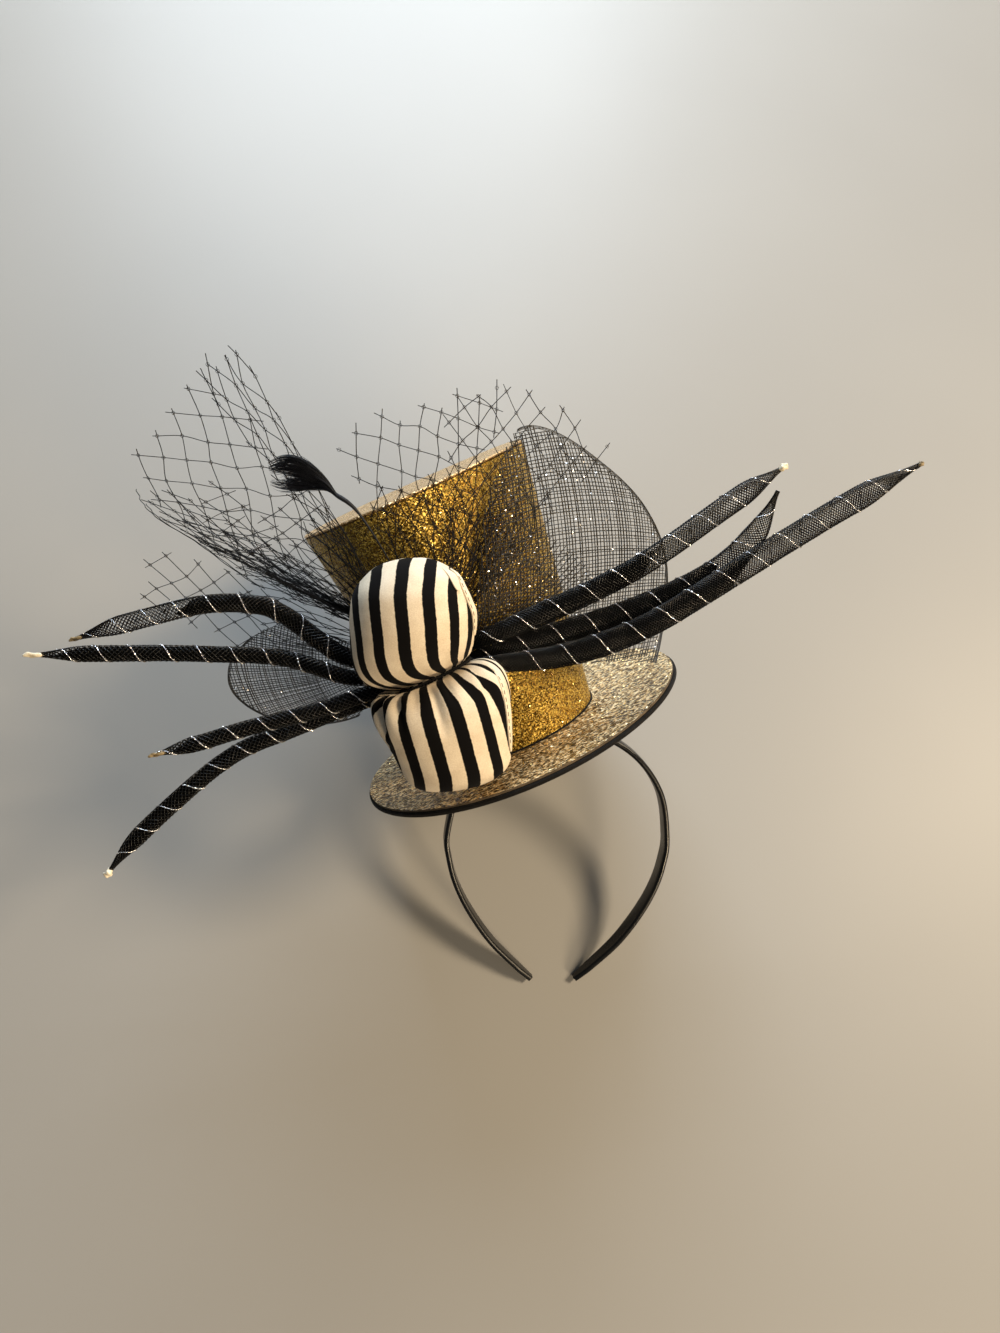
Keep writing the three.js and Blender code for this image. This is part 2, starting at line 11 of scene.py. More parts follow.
import bmesh
import bpy
import numpy as np
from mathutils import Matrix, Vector


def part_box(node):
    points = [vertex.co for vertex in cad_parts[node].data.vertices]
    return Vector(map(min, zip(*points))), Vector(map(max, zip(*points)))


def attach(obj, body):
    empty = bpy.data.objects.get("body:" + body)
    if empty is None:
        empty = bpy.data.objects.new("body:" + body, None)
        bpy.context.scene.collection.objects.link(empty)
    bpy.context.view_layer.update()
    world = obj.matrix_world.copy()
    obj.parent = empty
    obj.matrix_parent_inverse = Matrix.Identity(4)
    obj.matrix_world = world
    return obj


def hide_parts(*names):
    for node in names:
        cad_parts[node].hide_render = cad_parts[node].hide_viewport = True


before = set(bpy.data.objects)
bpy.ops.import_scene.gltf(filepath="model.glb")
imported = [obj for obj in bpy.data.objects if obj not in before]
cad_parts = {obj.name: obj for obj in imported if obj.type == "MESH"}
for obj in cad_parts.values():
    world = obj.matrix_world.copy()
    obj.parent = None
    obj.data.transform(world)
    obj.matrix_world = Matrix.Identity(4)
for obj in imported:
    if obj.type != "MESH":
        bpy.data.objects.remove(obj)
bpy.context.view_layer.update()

scene = bpy.context.scene

# %% [markdown]
# ## Two sets of axes
# A milliner thinks of the hat as it is worn: right, back and up, in millimetres, from the middle of the
# brim. The frame lies on the table instead. One function turns worn places into frame places, so every
# later size can be written the way a maker would measure it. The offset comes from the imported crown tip.

# %% From worn millimetres to the frame
HAT_TILT = math.radians(27)
LEAN = math.radians(29.7)
CROWN_HEIGHT = 123.7
TIP_THICK = 1.2


def lean_back(points):
    """Worn axes to frame axes, still in millimetres."""
    points = np.asarray(points, float)
    right, back, up = points[..., 0], points[..., 1], points[..., 2]
    along = back * math.sin(LEAN) + up * math.cos(LEAN)
    above = up * math.sin(LEAN) - back * math.cos(LEAN)
    return np.stack([right, along, above], axis=-1)


def on_hat(points):
    """Hat axes (across, back, height) to worn axes (right, back, up)."""
    points = np.asarray(points, float)
    across, back, height = points[..., 0], points[..., 1], points[..., 2]
    right = across * math.cos(HAT_TILT) - height * math.sin(HAT_TILT)
    up = across * math.sin(HAT_TILT) + height * math.cos(HAT_TILT)
    return np.stack([right, back, up], axis=-1)


tip_low, tip_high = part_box("crown_tip")
tip_middle = np.array((tip_low + tip_high) / 2) * 1000
OFFSET = tip_middle - lean_back(on_hat([0, 0, CROWN_HEIGHT - TIP_THICK / 2]))


def lay_down(points):
    """Worn millimetres to metres in the frame."""
    return (lean_back(points) + OFFSET) / 1000


BACKWARD = lean_back([0, 1, 0])
print("offset of the worn axes, mm", OFFSET.round(2))

# %% [markdown]
# ## Camera
# The photograph looks down on the headpiece from about half a metre, so perspective matters. The camera
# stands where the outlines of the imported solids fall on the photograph's outlines.

# %% Camera
CAMERA_PLACE = (-0.03930, -0.12577, 0.53426)
CAMERA_TURN = (17.627, -6.611, 0.135)
CAMERA_LENS, CAMERA_NEAR = 27.0, 0.01
camera = bpy.data.objects.new("camera", bpy.data.cameras.new("camera"))
camera.location = CAMERA_PLACE
camera.rotation_euler = [math.radians(angle) for angle in CAMERA_TURN]
camera.data.lens = CAMERA_LENS
camera.data.clip_start = CAMERA_NEAR
scene.collection.objects.link(camera)
scene.camera = camera
print("camera", CAMERA_PLACE)

# %% [markdown]
# ## Node helpers
# Shader trees and geometry trees are both lists of nodes and links. `add` makes one node, sets its
# options and fills its inputs: a socket is linked, and anything else becomes the input's value.


# %% Node helpers
def add(tree, kind, inputs=None, **options):
    node = tree.nodes.new(kind)
    for key, value in options.items():
        setattr(node, key, value)
    for socket, value in (inputs or {}).items():
        if isinstance(value, bpy.types.NodeSocket):
            tree.links.new(value, node.inputs[socket])
        else:
            node.inputs[socket].default_value = value
    return node


def math_node(tree, operation, first, second=0.0):
    return add(tree, "ShaderNodeMath", {0: first, 1: second}, operation=operation).outputs[0]


def vector_node(tree, operation, first, second=(0.0, 0.0, 0.0)):
    return add(tree, "ShaderNodeVectorMath", {0: first, 1: second}, operation=operation).outputs[0]


def scaled(tree, vector, scale):
    return add(tree, "ShaderNodeVectorMath", {0: vector, "Scale": scale}, operation="SCALE").outputs[0]


def mix_colour(tree, share, first, second):
    return add(tree, "ShaderNodeMix", {0: share, 6: first, 7: second}, data_type="RGBA").outputs[2]


def map_range(tree, value, low, high, to_low=0.0, to_high=1.0, **options):
    inputs = {"Value": value, "From Min": low, "From Max": high, "To Min": to_low, "To Max": to_high}
    return add(tree, "ShaderNodeMapRange", inputs, **options).outputs[0]


def noise(tree, place, scale, detail=2.0, roughness=0.5):
    inputs = {"Vector": place, "Scale": scale, "Detail": detail, "Roughness": roughness}
    return add(tree, "ShaderNodeTexNoise", inputs).outputs[0]


def ramp(tree, value, stops):
    node = add(tree, "ShaderNodeValToRGB", {"Fac": value})
    elements = node.color_ramp.elements
    while len(elements) < len(stops):
        elements.new(0.5)
    for element, (place, colour) in zip(elements, stops):
        element.position = place
        element.color = (*colour, 1.0)
    return node.outputs["Color"]


def new_group(name, kind, inputs, outputs):
    tree = bpy.data.node_groups.new(name, kind)
    for direction, sockets in (("INPUT", inputs), ("OUTPUT", outputs)):
        for label, socket, *value in sockets:
            made = tree.interface.new_socket(label, in_out=direction, socket_type=socket)
            if value:
                made.default_value = value[0]
    return tree, add(tree, "NodeGroupInput").outputs, add(tree, "NodeGroupOutput").inputs


def new_material(name, **values):
    """A material with a Principled shader whose constant values are set on its own sockets."""
    material = bpy.data.materials.new(name)
    material.use_nodes = True
    shader = material.node_tree.nodes["Principled BSDF"]
    for label, value in values.items():
        shader.inputs[label.replace("_", " ")].default_value = value
    return material, material.node_tree, shader


FLOAT, COLOUR, VECTOR = "NodeSocketFloat", "NodeSocketColor", "NodeSocketVector"
print("node helpers ready")

# %% [markdown]
# ## Effects that several finishes share
# *Glitter* is many tiny flakes, each turned its own way: a Voronoi cell is one flake, and its random colour
# gives both a shade and a tilt of the normal. *Fibre* is the fine, uneven tone of cloth, felt and thread.

# %% Shared effects
FLAKE_SHADES, FLAKE_POLISH = (0.1, 0.55, 0.95), (0.22, 0.6)
FINE_SHARE, WIDE_SHARE, WIDE_SCALE, FIBRE_SPREAD = 0.6, 0.4, 0.06, (0.35, 0.65)
glitter_group, flake_in, flake_out = new_group(
    "glitter_flakes", "ShaderNodeTree",
    [("Place", VECTOR), ("Surface", VECTOR), ("Flakes per metre", FLOAT, 1200.0), ("Tilt", FLOAT, 0.8),
     ("Dark", COLOUR), ("Middle", COLOUR), ("Bright", COLOUR)],
    [("Color", COLOUR), ("Roughness", FLOAT), ("Normal", VECTOR)])
cells = add(glitter_group, "ShaderNodeTexVoronoi",
            {"Vector": flake_in["Place"], "Scale": flake_in["Flakes per metre"]}).outputs
chance = add(glitter_group, "ShaderNodeSeparateColor", {"Color": cells["Color"]}).outputs
lower = map_range(glitter_group, chance["Red"], *FLAKE_SHADES[:2])
upper = map_range(glitter_group, chance["Red"], *FLAKE_SHADES[1:])
shade = mix_colour(glitter_group, lower, flake_in["Dark"], flake_in["Middle"])
shine = mix_colour(glitter_group, upper, shade, flake_in["Bright"])
polish = map_range(glitter_group, chance["Green"], 0.0, 1.0, *FLAKE_POLISH)
lean_of_flake = vector_node(glitter_group, "SUBTRACT", cells["Color"], (0.5, 0.5, 0.5))
turned = scaled(glitter_group, lean_of_flake, flake_in["Tilt"])
facing = vector_node(glitter_group, "ADD", flake_in["Surface"], turned)
glitter_group.links.new(shine, flake_out["Color"])
glitter_group.links.new(polish, flake_out["Roughness"])
glitter_group.links.new(vector_node(glitter_group, "NORMALIZE", facing), flake_out["Normal"])

fibre_group, fibre_in, fibre_out = new_group(
    "fibre_tone", "ShaderNodeTree",
    [("Place", VECTOR), ("Fibres per metre", FLOAT, 2500.0), ("Thin", COLOUR), ("Dense", COLOUR)],
    [("Color", COLOUR), ("Height", FLOAT)])
fine = noise(fibre_group, fibre_in["Place"], fibre_in["Fibres per metre"], 3.0, 0.65)
wide_scale = math_node(fibre_group, "MULTIPLY", fibre_in["Fibres per metre"], WIDE_SCALE)
wide = noise(fibre_group, fibre_in["Place"], wide_scale)
mixed = math_node(fibre_group, "ADD", math_node(fibre_group, "MULTIPLY", fine, FINE_SHARE),
                  math_node(fibre_group, "MULTIPLY", wide, WIDE_SHARE))
spread = map_range(fibre_group, mixed, *FIBRE_SPREAD)
tone = mix_colour(fibre_group, spread, fibre_in["Dense"], fibre_in["Thin"])
fibre_group.links.new(tone, fibre_out["Color"])
fibre_group.links.new(fine, fibre_out["Height"])
print("shared effects", glitter_group.name, fibre_group.name)

# %% [markdown]
# Each finish is one call: its tones, how fine its grain is and how it shines. Glitter cloth is only partly
# metal, so that it keeps its own colour in the shade, and black cloth needs hardly any shine.

# %% Finishes built from the shared effects
FIBRE_RELIEF = 0.0004


def place_of(tree):
    return add(tree, "ShaderNodeTexCoord").outputs["Object"]


def glitter_finish(name, dark, middle, bright, per_metre, tilt, metallic=0.72):
    material, tree, shader = new_material(name, Metallic=metallic)
    surface = add(tree, "ShaderNodeNewGeometry").outputs["Normal"]
    flakes = add(tree, "ShaderNodeGroup", {
        "Place": place_of(tree), "Surface": surface, "Dark": (*dark, 1.0), "Middle": (*middle, 1.0),
        "Bright": (*bright, 1.0), "Flakes per metre": per_metre, "Tilt": tilt}, node_tree=glitter_group)
    for source, target in (("Color", "Base Color"), ("Roughness", "Roughness"), ("Normal", "Normal")):
        tree.links.new(flakes.outputs[source], shader.inputs[target])
    return material


def cloth_tone(tree, dense, thin, per_metre):
    """The fibre effect in a material, with tones of its own."""
    return add(tree, "ShaderNodeGroup", {
        "Place": place_of(tree), "Fibres per metre": per_metre, "Dense": (*dense, 1.0), "Thin": (*thin, 1.0)},
        node_tree=fibre_group).outputs


def add_relief(tree, shader, height, strength, distance):
    relief = add(tree, "ShaderNodeBump", {"Height": height, "Strength": strength, "Distance": distance})
    tree.links.new(relief.outputs["Normal"], shader.inputs["Normal"])


def fibre_finish(name, dense, thin, per_metre, bump, roughness=0.8, sheen=0.0, metallic=0.0, specular=0.3):
    material, tree, shader = new_material(
        name, Roughness=roughness, Sheen_Weight=sheen, Metallic=metallic, Specular_IOR_Level=specular)
    cloth = cloth_tone(tree, dense, thin, per_metre)
    tree.links.new(cloth["Color"], shader.inputs["Base Color"])
    add_relief(tree, shader, cloth["Height"], bump, FIBRE_RELIEF)
    return material


crown_gold = glitter_finish("crown_gold", (0.05, 0.022, 0.003), (0.40, 0.215, 0.016), (1.0, 0.72, 0.16),
                            2000, 0.8, 0.55)
tip_gold = glitter_finish("tip_gold", (0.24, 0.12, 0.035), (0.50, 0.30, 0.11), (0.90, 0.66, 0.36), 1800, 0.7)
black_felt = fibre_finish("black_felt", (0.003, 0.003, 0.003), (0.014, 0.012, 0.011), 2600, 0.9,
                          roughness=0.95, sheen=0.05, specular=0.15)
cut_edge = fibre_finish("cut_edge", (0.04, 0.028, 0.016), (0.15, 0.11, 0.07), 3000, 0.4)
net_black = fibre_finish("net_black", (0.003, 0.003, 0.004), (0.011, 0.011, 0.013), 4000, 0.3,
                         roughness=0.55, specular=0.25)
straw_black = fibre_finish("straw_black", (0.004, 0.004, 0.004), (0.026, 0.024, 0.022), 3500, 0.4,
                           roughness=0.3, specular=0.45)
crin_black = fibre_finish("crin_black", (0.002, 0.002, 0.002), (0.010, 0.010, 0.010), 4000, 0.2,
                          roughness=0.2, specular=0.32)
core_black = fibre_finish("core_black", (0.001, 0.001, 0.001), (0.002, 0.002, 0.002), 3000, 0.6,
                          roughness=0.9, specular=0.03)
cord_black = fibre_finish("cord_black", (0.004, 0.004, 0.004), (0.018, 0.017, 0.017), 4000, 0.6, specular=0.2)
feather_black = fibre_finish("feather_black", (0.002, 0.003, 0.005), (0.008, 0.010, 0.018), 5000, 0.3,
                             roughness=0.45, specular=0.35)
silver_thread = fibre_finish("silver_thread", (0.62, 0.62, 0.66), (0.95, 0.95, 0.98), 3000, 0.3,
                             roughness=0.22, metallic=0.9)
print("finishes", len(bpy.data.materials))

# %% [markdown]
# ## Mesh helpers
# A sheet of points in rows becomes a skin of quads. `smooth_rows` draws one smooth line through the rows of a
# short table, so a few chosen sizes are enough for a round shape.


# %% Mesh helpers
def make_piece(name, points, faces, materials, uv=None, slots=None, sharp=None):
    """A linked mesh object, smooth except where faces meet at more than an angle in degrees."""
    mesh = bpy.data.meshes.new(name)
    mesh.from_pydata(np.asarray(points, float).tolist(), [], faces)
    for material in materials:
        mesh.materials.append(material)
    if slots is not None:
        mesh.polygons.foreach_set("material_index", np.asarray(slots, np.int32))
    if uv is not None:
        layer = mesh.uv_layers.new(name="cloth")
        corners = np.empty(len(mesh.loops), np.int32)
        mesh.loops.foreach_get("vertex_index", corners)
        layer.data.foreach_set("uv", np.asarray(uv, float)[corners].ravel())
    mesh.shade_smooth()
    if sharp is not None:
        mesh.set_sharp_from_angle(angle=math.radians(sharp))
    mesh.validate()
    piece = bpy.data.objects.new(name, mesh)
    scene.collection.objects.link(piece)
    return piece


def skin_faces(rows, columns, wrap_rows=False, wrap_columns=False):
    faces = []
    for i in range(rows if wrap_rows else rows - 1):
        for j in range(columns if wrap_columns else columns - 1):
            i2, j2 = (i + 1) % rows, (j + 1) % columns
            faces.append((i * columns + j, i * columns + j2, i2 * columns + j2, i2 * columns + j))
    return faces


def face_outward(piece):
    """Turns every face outwards on a closed mesh."""
    work = bmesh.new()
    work.from_mesh(piece.data)
    bmesh.ops.recalc_face_normals(work, faces=work.faces)
    work.to_mesh(piece.data)
    work.free()
    return piece


def smooth_rows(rows, t):
    """Points of a smooth curve through the rows of a table, for t from 0 to 1."""
    rows = np.asarray(rows, float)
    place = np.clip(np.asarray(t, float), 0, 1) * (len(rows) - 1)
    first = np.minimum(place.astype(int), len(rows) - 2)
    f = (place - first)[..., None]
    before = rows[np.maximum(first - 1, 0)]
    start, end = rows[first], rows[first + 1]
    after = rows[np.minimum(first + 2, len(rows) - 1)]
    return 0.5 * (2 * start + (end - before) * f + (2 * before - 5 * start + 4 * end - after) * f ** 2
                  + (3 * start - before - 3 * end + after) * f ** 3)


def smoothstep(value, low, high):
    x = np.clip((np.asarray(value, float) - low) / (high - low), 0, 1)
    return x * x * (3 - 2 * x)


def finish_piece(piece, slot, *nodes):
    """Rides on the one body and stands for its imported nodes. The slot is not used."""
    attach(piece, "root")
    if nodes:
        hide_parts(*nodes)
    print(piece.name, len(piece.data.polygons), "faces")
    return piece


print("mesh helpers ready")

# %% [markdown]
# ## Crown
# The crown is glitter cloth on thin card: a straight wall that flares upwards, with a flat round tip. Both
# are turned shapes, so a profile of radius and height is swept round the hat's own axis.

# %% Crown
CROWN_BASE_RADIUS, CROWN_TOP_RADIUS = 37.2, 54.0
CROWN_THICK = 1.2
GAP = 0.3
TURNS, WALL_STEPS, SHARP = 160, 30, 40


def crown_radius(height):
    return CROWN_BASE_RADIUS + (CROWN_TOP_RADIUS - CROWN_BASE_RADIUS) * height / CROWN_HEIGHT


def turned_points(profile):
    """A profile of radius and height, turned round the hat's axis."""
    profile = np.asarray(profile, float)
    angle = np.linspace(0, 2 * math.pi, TURNS, endpoint=False)[:, None]
    radius, height = profile[None, :, 0], profile[None, :, 1]
    return np.stack([radius * np.cos(angle), radius * np.sin(angle), height + 0 * angle], axis=-1)


def lay_hat(points):
    """Hat millimetres to metres in the frame, as one list of points."""
    return lay_down(on_hat(np.asarray(points, float).reshape(-1, 3)))


wall_top = CROWN_HEIGHT - TIP_THICK - GAP
heights = np.linspace(GAP, wall_top, WALL_STEPS)
outer = [(crown_radius(h), h) for h in heights]
inner = [(crown_radius(h) - CROWN_THICK, h) for h in heights[::-1]]
crown_wall_cloth = make_piece(
    "crown_wall_cloth", lay_hat(turned_points(outer + inner)),
    skin_faces(TURNS, len(outer + inner), True, True), [crown_gold], sharp=SHARP)
face_outward(crown_wall_cloth)
finish_piece(crown_wall_cloth, "gold_glitter", "crown_wall")

# %% [markdown]
# The tip is a disc with softly rounded edges. Its middle is closed by a fan of triangles on one point.

# %% Crown tip
ROUND, TIP_STEPS = 0.5, 8


def closed_disc(name, profile, material, bend):
    """A turned solid whose profile starts and ends on the axis."""
    points = turned_points(profile[1:-1]).reshape(-1, 3)
    low, high = len(points), len(points) + 1
    points = np.vstack([points, (0, 0, profile[0][1]), (0, 0, profile[-1][1])])
    columns = len(profile) - 2
    faces = skin_faces(TURNS, columns, True, False)
    for i in range(TURNS):
        here, beside = i * columns, ((i + 1) % TURNS) * columns
        faces.append((low, beside, here))
        faces.append((high, here + columns - 1, beside + columns - 1))
    return face_outward(make_piece(name, bend(points), faces, [material], sharp=SHARP))


tip_low_edge = CROWN_HEIGHT - TIP_THICK
inside = [(r, tip_low_edge) for r in np.linspace(0, CROWN_TOP_RADIUS - ROUND, TIP_STEPS)]
rim = [(CROWN_TOP_RADIUS, tip_low_edge + ROUND), (CROWN_TOP_RADIUS, CROWN_HEIGHT - ROUND)]
outside = [(r, CROWN_HEIGHT) for r in np.linspace(CROWN_TOP_RADIUS - ROUND, 0, TIP_STEPS)]
crown_tip_cloth = closed_disc("crown_tip_cloth", inside + rim + outside, tip_gold, lay_hat)
finish_piece(crown_tip_cloth, "gold_glitter", "crown_tip")

# %% [markdown]
# ## Brim
# A disc of black felt with gold glitter cloth glued on top. The sides curl up a little, and the felt is
# pressed flat where the brim's edge rests on the table. The cloth's cut edge shows as a thin pale line.

# %% Brim felt
BRIM_RADIUS, COVER_RADIUS, COVER_HOLE = 79.6, 78.6, 34.0
FELT_THICK, COVER_THICK, BRIM_CURL = 2.0, 1.0, 1.6
FELT_STEPS = 16
felt_top = -COVER_THICK - GAP
felt_low = felt_top - FELT_THICK


def brim_bend(points):
    """Curls the sides up, lays the brim down and presses it on the table."""
    points = np.array(points, float).reshape(-1, 3)
    radius = np.hypot(points[:, 0], points[:, 1])
    out = np.maximum(0, (radius - CROWN_BASE_RADIUS) / (BRIM_RADIUS - CROWN_BASE_RADIUS))
    side = np.divide(points[:, 0], radius, out=np.zeros_like(radius), where=radius > 0)
    points[:, 2] += BRIM_CURL * (out * side) ** 2
    placed = lay_down(on_hat(points))
    placed[:, 2] = np.maximum(placed[:, 2], 0)
    return placed


felt_profile = [(r, felt_low) for r in np.linspace(0, BRIM_RADIUS - ROUND, FELT_STEPS)]
felt_profile += [(BRIM_RADIUS, felt_low + ROUND), (BRIM_RADIUS, felt_top - ROUND)]
felt_profile += [(r, felt_top) for r in np.linspace(BRIM_RADIUS - ROUND, 0, FELT_STEPS)]
brim_felt_disc = closed_disc("brim_felt_disc", felt_profile, black_felt, brim_bend)
finish_piece(brim_felt_disc, "black_felt", "brim_felt")

# %% [markdown]
# The glitter cloth of the brim is coarser than the crown's. Short dark flecks are painted in rows between pale
# gold
# ones: painted shade that grazing light leaves in the hollows of the knit. Its pattern follows the cloth's own
# flat sizes, so it needs a UV map in millimetres.

# %% Brim gold
FLECK_SCALE, FLECK_UNEVEN, FLECK_REACH = (0.34, 0.78, 1.0), 0.85, 0.40
FLECK_MISSED, KNIT_SHADE_DEPTH, KNIT_SHADE_COLOUR = 0.3, 0.95, (0.05, 0.03, 0.012, 1)
brim_gold = glitter_finish("brim_gold", (0.22, 0.12, 0.035), (0.88, 0.61, 0.29), (1.0, 0.83, 0.52),
                           1000, 0.65, 0.35)
tree = brim_gold.node_tree
shader = tree.nodes["Principled BSDF"]
flat_place = add(tree, "ShaderNodeUVMap", uv_map="cloth").outputs["UV"]
rows_of_knit = add(tree, "ShaderNodeMapping", {"Vector": flat_place, "Scale": FLECK_SCALE}).outputs[0]
knit = add(tree, "ShaderNodeTexVoronoi", {"Vector": rows_of_knit, "Scale": 1.0, "Randomness": FLECK_UNEVEN},
           voronoi_dimensions="2D").outputs
# Painted shade: the dark flecks in rows stand for the shade in the hollows of the knit.
knit_hollow = math_node(tree, "LESS_THAN", knit["Distance"], FLECK_REACH)
chance = add(tree, "ShaderNodeSeparateColor", {"Color": knit["Color"]}).outputs["Blue"]
painted_knit_shade = math_node(tree, "MULTIPLY", knit_hollow, math_node(tree, "GREATER_THAN", chance, FLECK_MISSED))
gold_colour = shader.inputs["Base Color"].links[0].from_socket
knit_shaded = mix_colour(tree, math_node(tree, "MULTIPLY", painted_knit_shade, KNIT_SHADE_DEPTH), gold_colour, KNIT_SHADE_COLOUR)
tree.links.new(knit_shaded, shader.inputs["Base Color"])
print("brim gold", len(tree.nodes), "nodes")

# %% [markdown]
# The cloth is a thin ring. The faces of its outer edge take the finish of the cut.

# %% Brim glitter cloth
COVER_LOW_STEPS, COVER_TOP_STEPS, COVER_ROUND = 12, 24, 0.1
EDGE_COLUMNS = range(COVER_LOW_STEPS - 1, COVER_LOW_STEPS + 2)
rounded = COVER_RADIUS - COVER_ROUND
cover_profile = [(r, -COVER_THICK) for r in np.linspace(COVER_HOLE, rounded, COVER_LOW_STEPS)]
cover_profile += [(COVER_RADIUS, COVER_ROUND - COVER_THICK), (COVER_RADIUS, -COVER_ROUND)]
cover_profile += [(r, 0.0) for r in np.linspace(rounded, COVER_HOLE, COVER_TOP_STEPS)]
cover = turned_points(cover_profile).reshape(-1, 3)
columns = len(cover_profile)
cover_faces = skin_faces(TURNS, columns, True, True)
cover_slots = [1 if face[0] % columns in EDGE_COLUMNS else 0 for face in cover_faces]
brim_glitter_cloth = make_piece("brim_glitter_cloth", brim_bend(cover), cover_faces, [brim_gold, cut_edge],
                                uv=cover[:, :2], slots=cover_slots, sharp=SHARP)
face_outward(brim_glitter_cloth)
finish_piece(brim_glitter_cloth, "gold_glitter", "brim_cover")

# %% [markdown]
# ## Headband
# A moulded strip of black plastic: an arc over the head and two legs that close in towards the tips. A
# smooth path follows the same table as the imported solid.

# %% Path of the headband
BAND_WIDTH, BAND_THICK, BAND_TIP_WIDTH = 10.0, 2.8, 7.0
BAND_ARC_RADIUS, BAND_SHIFT, BAND_SWING = 55.0, 22.6, 3.0
BAND_LEG = np.array([  # drop, half
    (14, 53.8), (27, 50.2), (41, 43.4), (57, 32.6), (70.5, 19.8), (78.5, 11.4)])
BAND_STEPS, ARC_POINTS, FINE_STEPS = 220, 8, 60

centre_up = (felt_low - GAP - BAND_ARC_RADIUS - BAND_THICK / 2 + BAND_SHIFT * math.sin(HAT_TILT))
centre_up /= math.cos(HAT_TILT)
swing = BAND_SWING * BAND_LEG[:, 0] / BAND_LEG[-1, 0]
angle = np.pi * (1 - np.linspace(0, 1, ARC_POINTS))
arc = np.column_stack([BAND_SHIFT + BAND_ARC_RADIUS * np.cos(angle), 0 * angle,
                       centre_up + BAND_ARC_RADIUS * np.sin(angle)])


def band_leg(side):
    right = BAND_SHIFT + swing + side * BAND_LEG[:, 1]
    return np.column_stack([right, 0 * swing, centre_up - BAND_LEG[:, 0]])


def even_path(rows, count):
    """A smooth path through the rows with evenly spaced points, its tangents and its length."""
    dense = smooth_rows(rows, np.linspace(0, 1, FINE_STEPS * len(rows)))
    run = np.concatenate([[0], np.cumsum(np.linalg.norm(np.diff(dense, axis=0), axis=1))])
    stops = np.linspace(0, run[-1], count)
    path = np.column_stack([np.interp(stops, run, dense[:, k]) for k in range(3)])
    tangent = np.gradient(path, axis=0)
    return path, tangent / np.linalg.norm(tangent, axis=1)[:, None], run[-1]


band_rows = np.vstack([band_leg(-1)[::-1], arc, band_leg(1)])
band_path, band_tangent, band_length = even_path(band_rows, BAND_STEPS)
print("headband length, mm", round(band_length, 1))

# %% [markdown]
# The strip narrows towards its tips. Its section is a rectangle with rounded corners. The plastic has a fine
# grain, and it is glossier in the patches where it is rubbed.

# %% Headband
BAND_TAPER, BAND_END, BAND_END_GROWTH = 0.12, 0.35, 3.0
BAND_SIDES, BAND_SQUARE, BAND_SHARP = 20, 0.35, 50
RUBBED, BAND_GLOSS = (0.3, 0.7), (0.2, 0.42)


def capped_tube(rings):
    """Points and faces of closed rings joined in turn, with a fan over each end."""
    count, sides = rings.shape[:2]
    points = np.vstack([rings.reshape(-1, 3), rings[0].mean(0), rings[-1].mean(0)])
    faces = skin_faces(count, sides, False, True)
    first, last = len(points) - 2, len(points) - 1
    for k in range(sides):
        beside = (k + 1) % sides
        faces.append((first, beside, k))
        faces.append((last, (count - 1) * sides + k, (count - 1) * sides + beside))
    return points, faces


t = np.linspace(0, 1, BAND_STEPS)
from_tip = np.minimum(t, 1 - t) / BAND_TAPER
width = BAND_TIP_WIDTH + (BAND_WIDTH - BAND_TIP_WIDTH) * smoothstep(from_tip, 0, 1)
width *= np.sqrt(np.minimum(1, BAND_END + from_tip * BAND_END_GROWTH))
outward = np.column_stack([-band_tangent[:, 2], 0 * t, band_tangent[:, 0]])
turn = np.linspace(0, 2 * math.pi, BAND_SIDES, endpoint=False)
strip = np.column_stack([np.cos(turn), np.sin(turn)])
strip = np.sign(strip) * np.abs(strip) ** BAND_SQUARE
rings = (band_path[:, None] + outward[:, None] * (strip[None, :, :1] * BAND_THICK / 2)
         + np.array([0, 1, 0]) * (strip[None, :, 1:] * width[:, None, None] / 2))
points, faces = capped_tube(rings)
placed = lay_down(points)
placed[:, 2] = np.maximum(placed[:, 2], 0)

band_plastic, tree, shader = new_material("band_plastic", Roughness=0.3, Specular_IOR_Level=0.35)
grain = noise(tree, place_of(tree), 900.0, 4.0)
rub = noise(tree, place_of(tree), 40.0, 5.0)
tone = ramp(tree, rub, [(RUBBED[0], (0.002, 0.002, 0.002)), (RUBBED[1], (0.006, 0.006, 0.006))])
tree.links.new(tone, shader.inputs["Base Color"])
tree.links.new(map_range(tree, rub, *RUBBED, *BAND_GLOSS), shader.inputs["Roughness"])
add_relief(tree, shader, grain, 0.12, 0.0003)
headband_strip = face_outward(make_piece("headband_strip", placed, faces, [band_plastic], sharp=BAND_SHARP))
finish_piece(headband_strip, "black_plastic", "headband")

# %% [markdown]
# ## Geometry Nodes for thread
# Net, straw weave, stitches, feather barbs and cords are all thread: a path with a thickness. One tree turns
# paths into closed tubes. The paths come in as a mesh of edges, with a radius on each point for a taper.

# %% Thread tree
GEOMETRY, INTEGER, MATERIAL = "NodeSocketGeometry", "NodeSocketInt", "NodeSocketMaterial"
thread_tree, thread_in, thread_out = new_group(
    "thread_from_paths", "GeometryNodeTree",
    [("Geometry", GEOMETRY), ("Thickness", FLOAT, 0.0004), ("Sides", INTEGER, 4), ("Material", MATERIAL)],
    [("Geometry", GEOMETRY)])


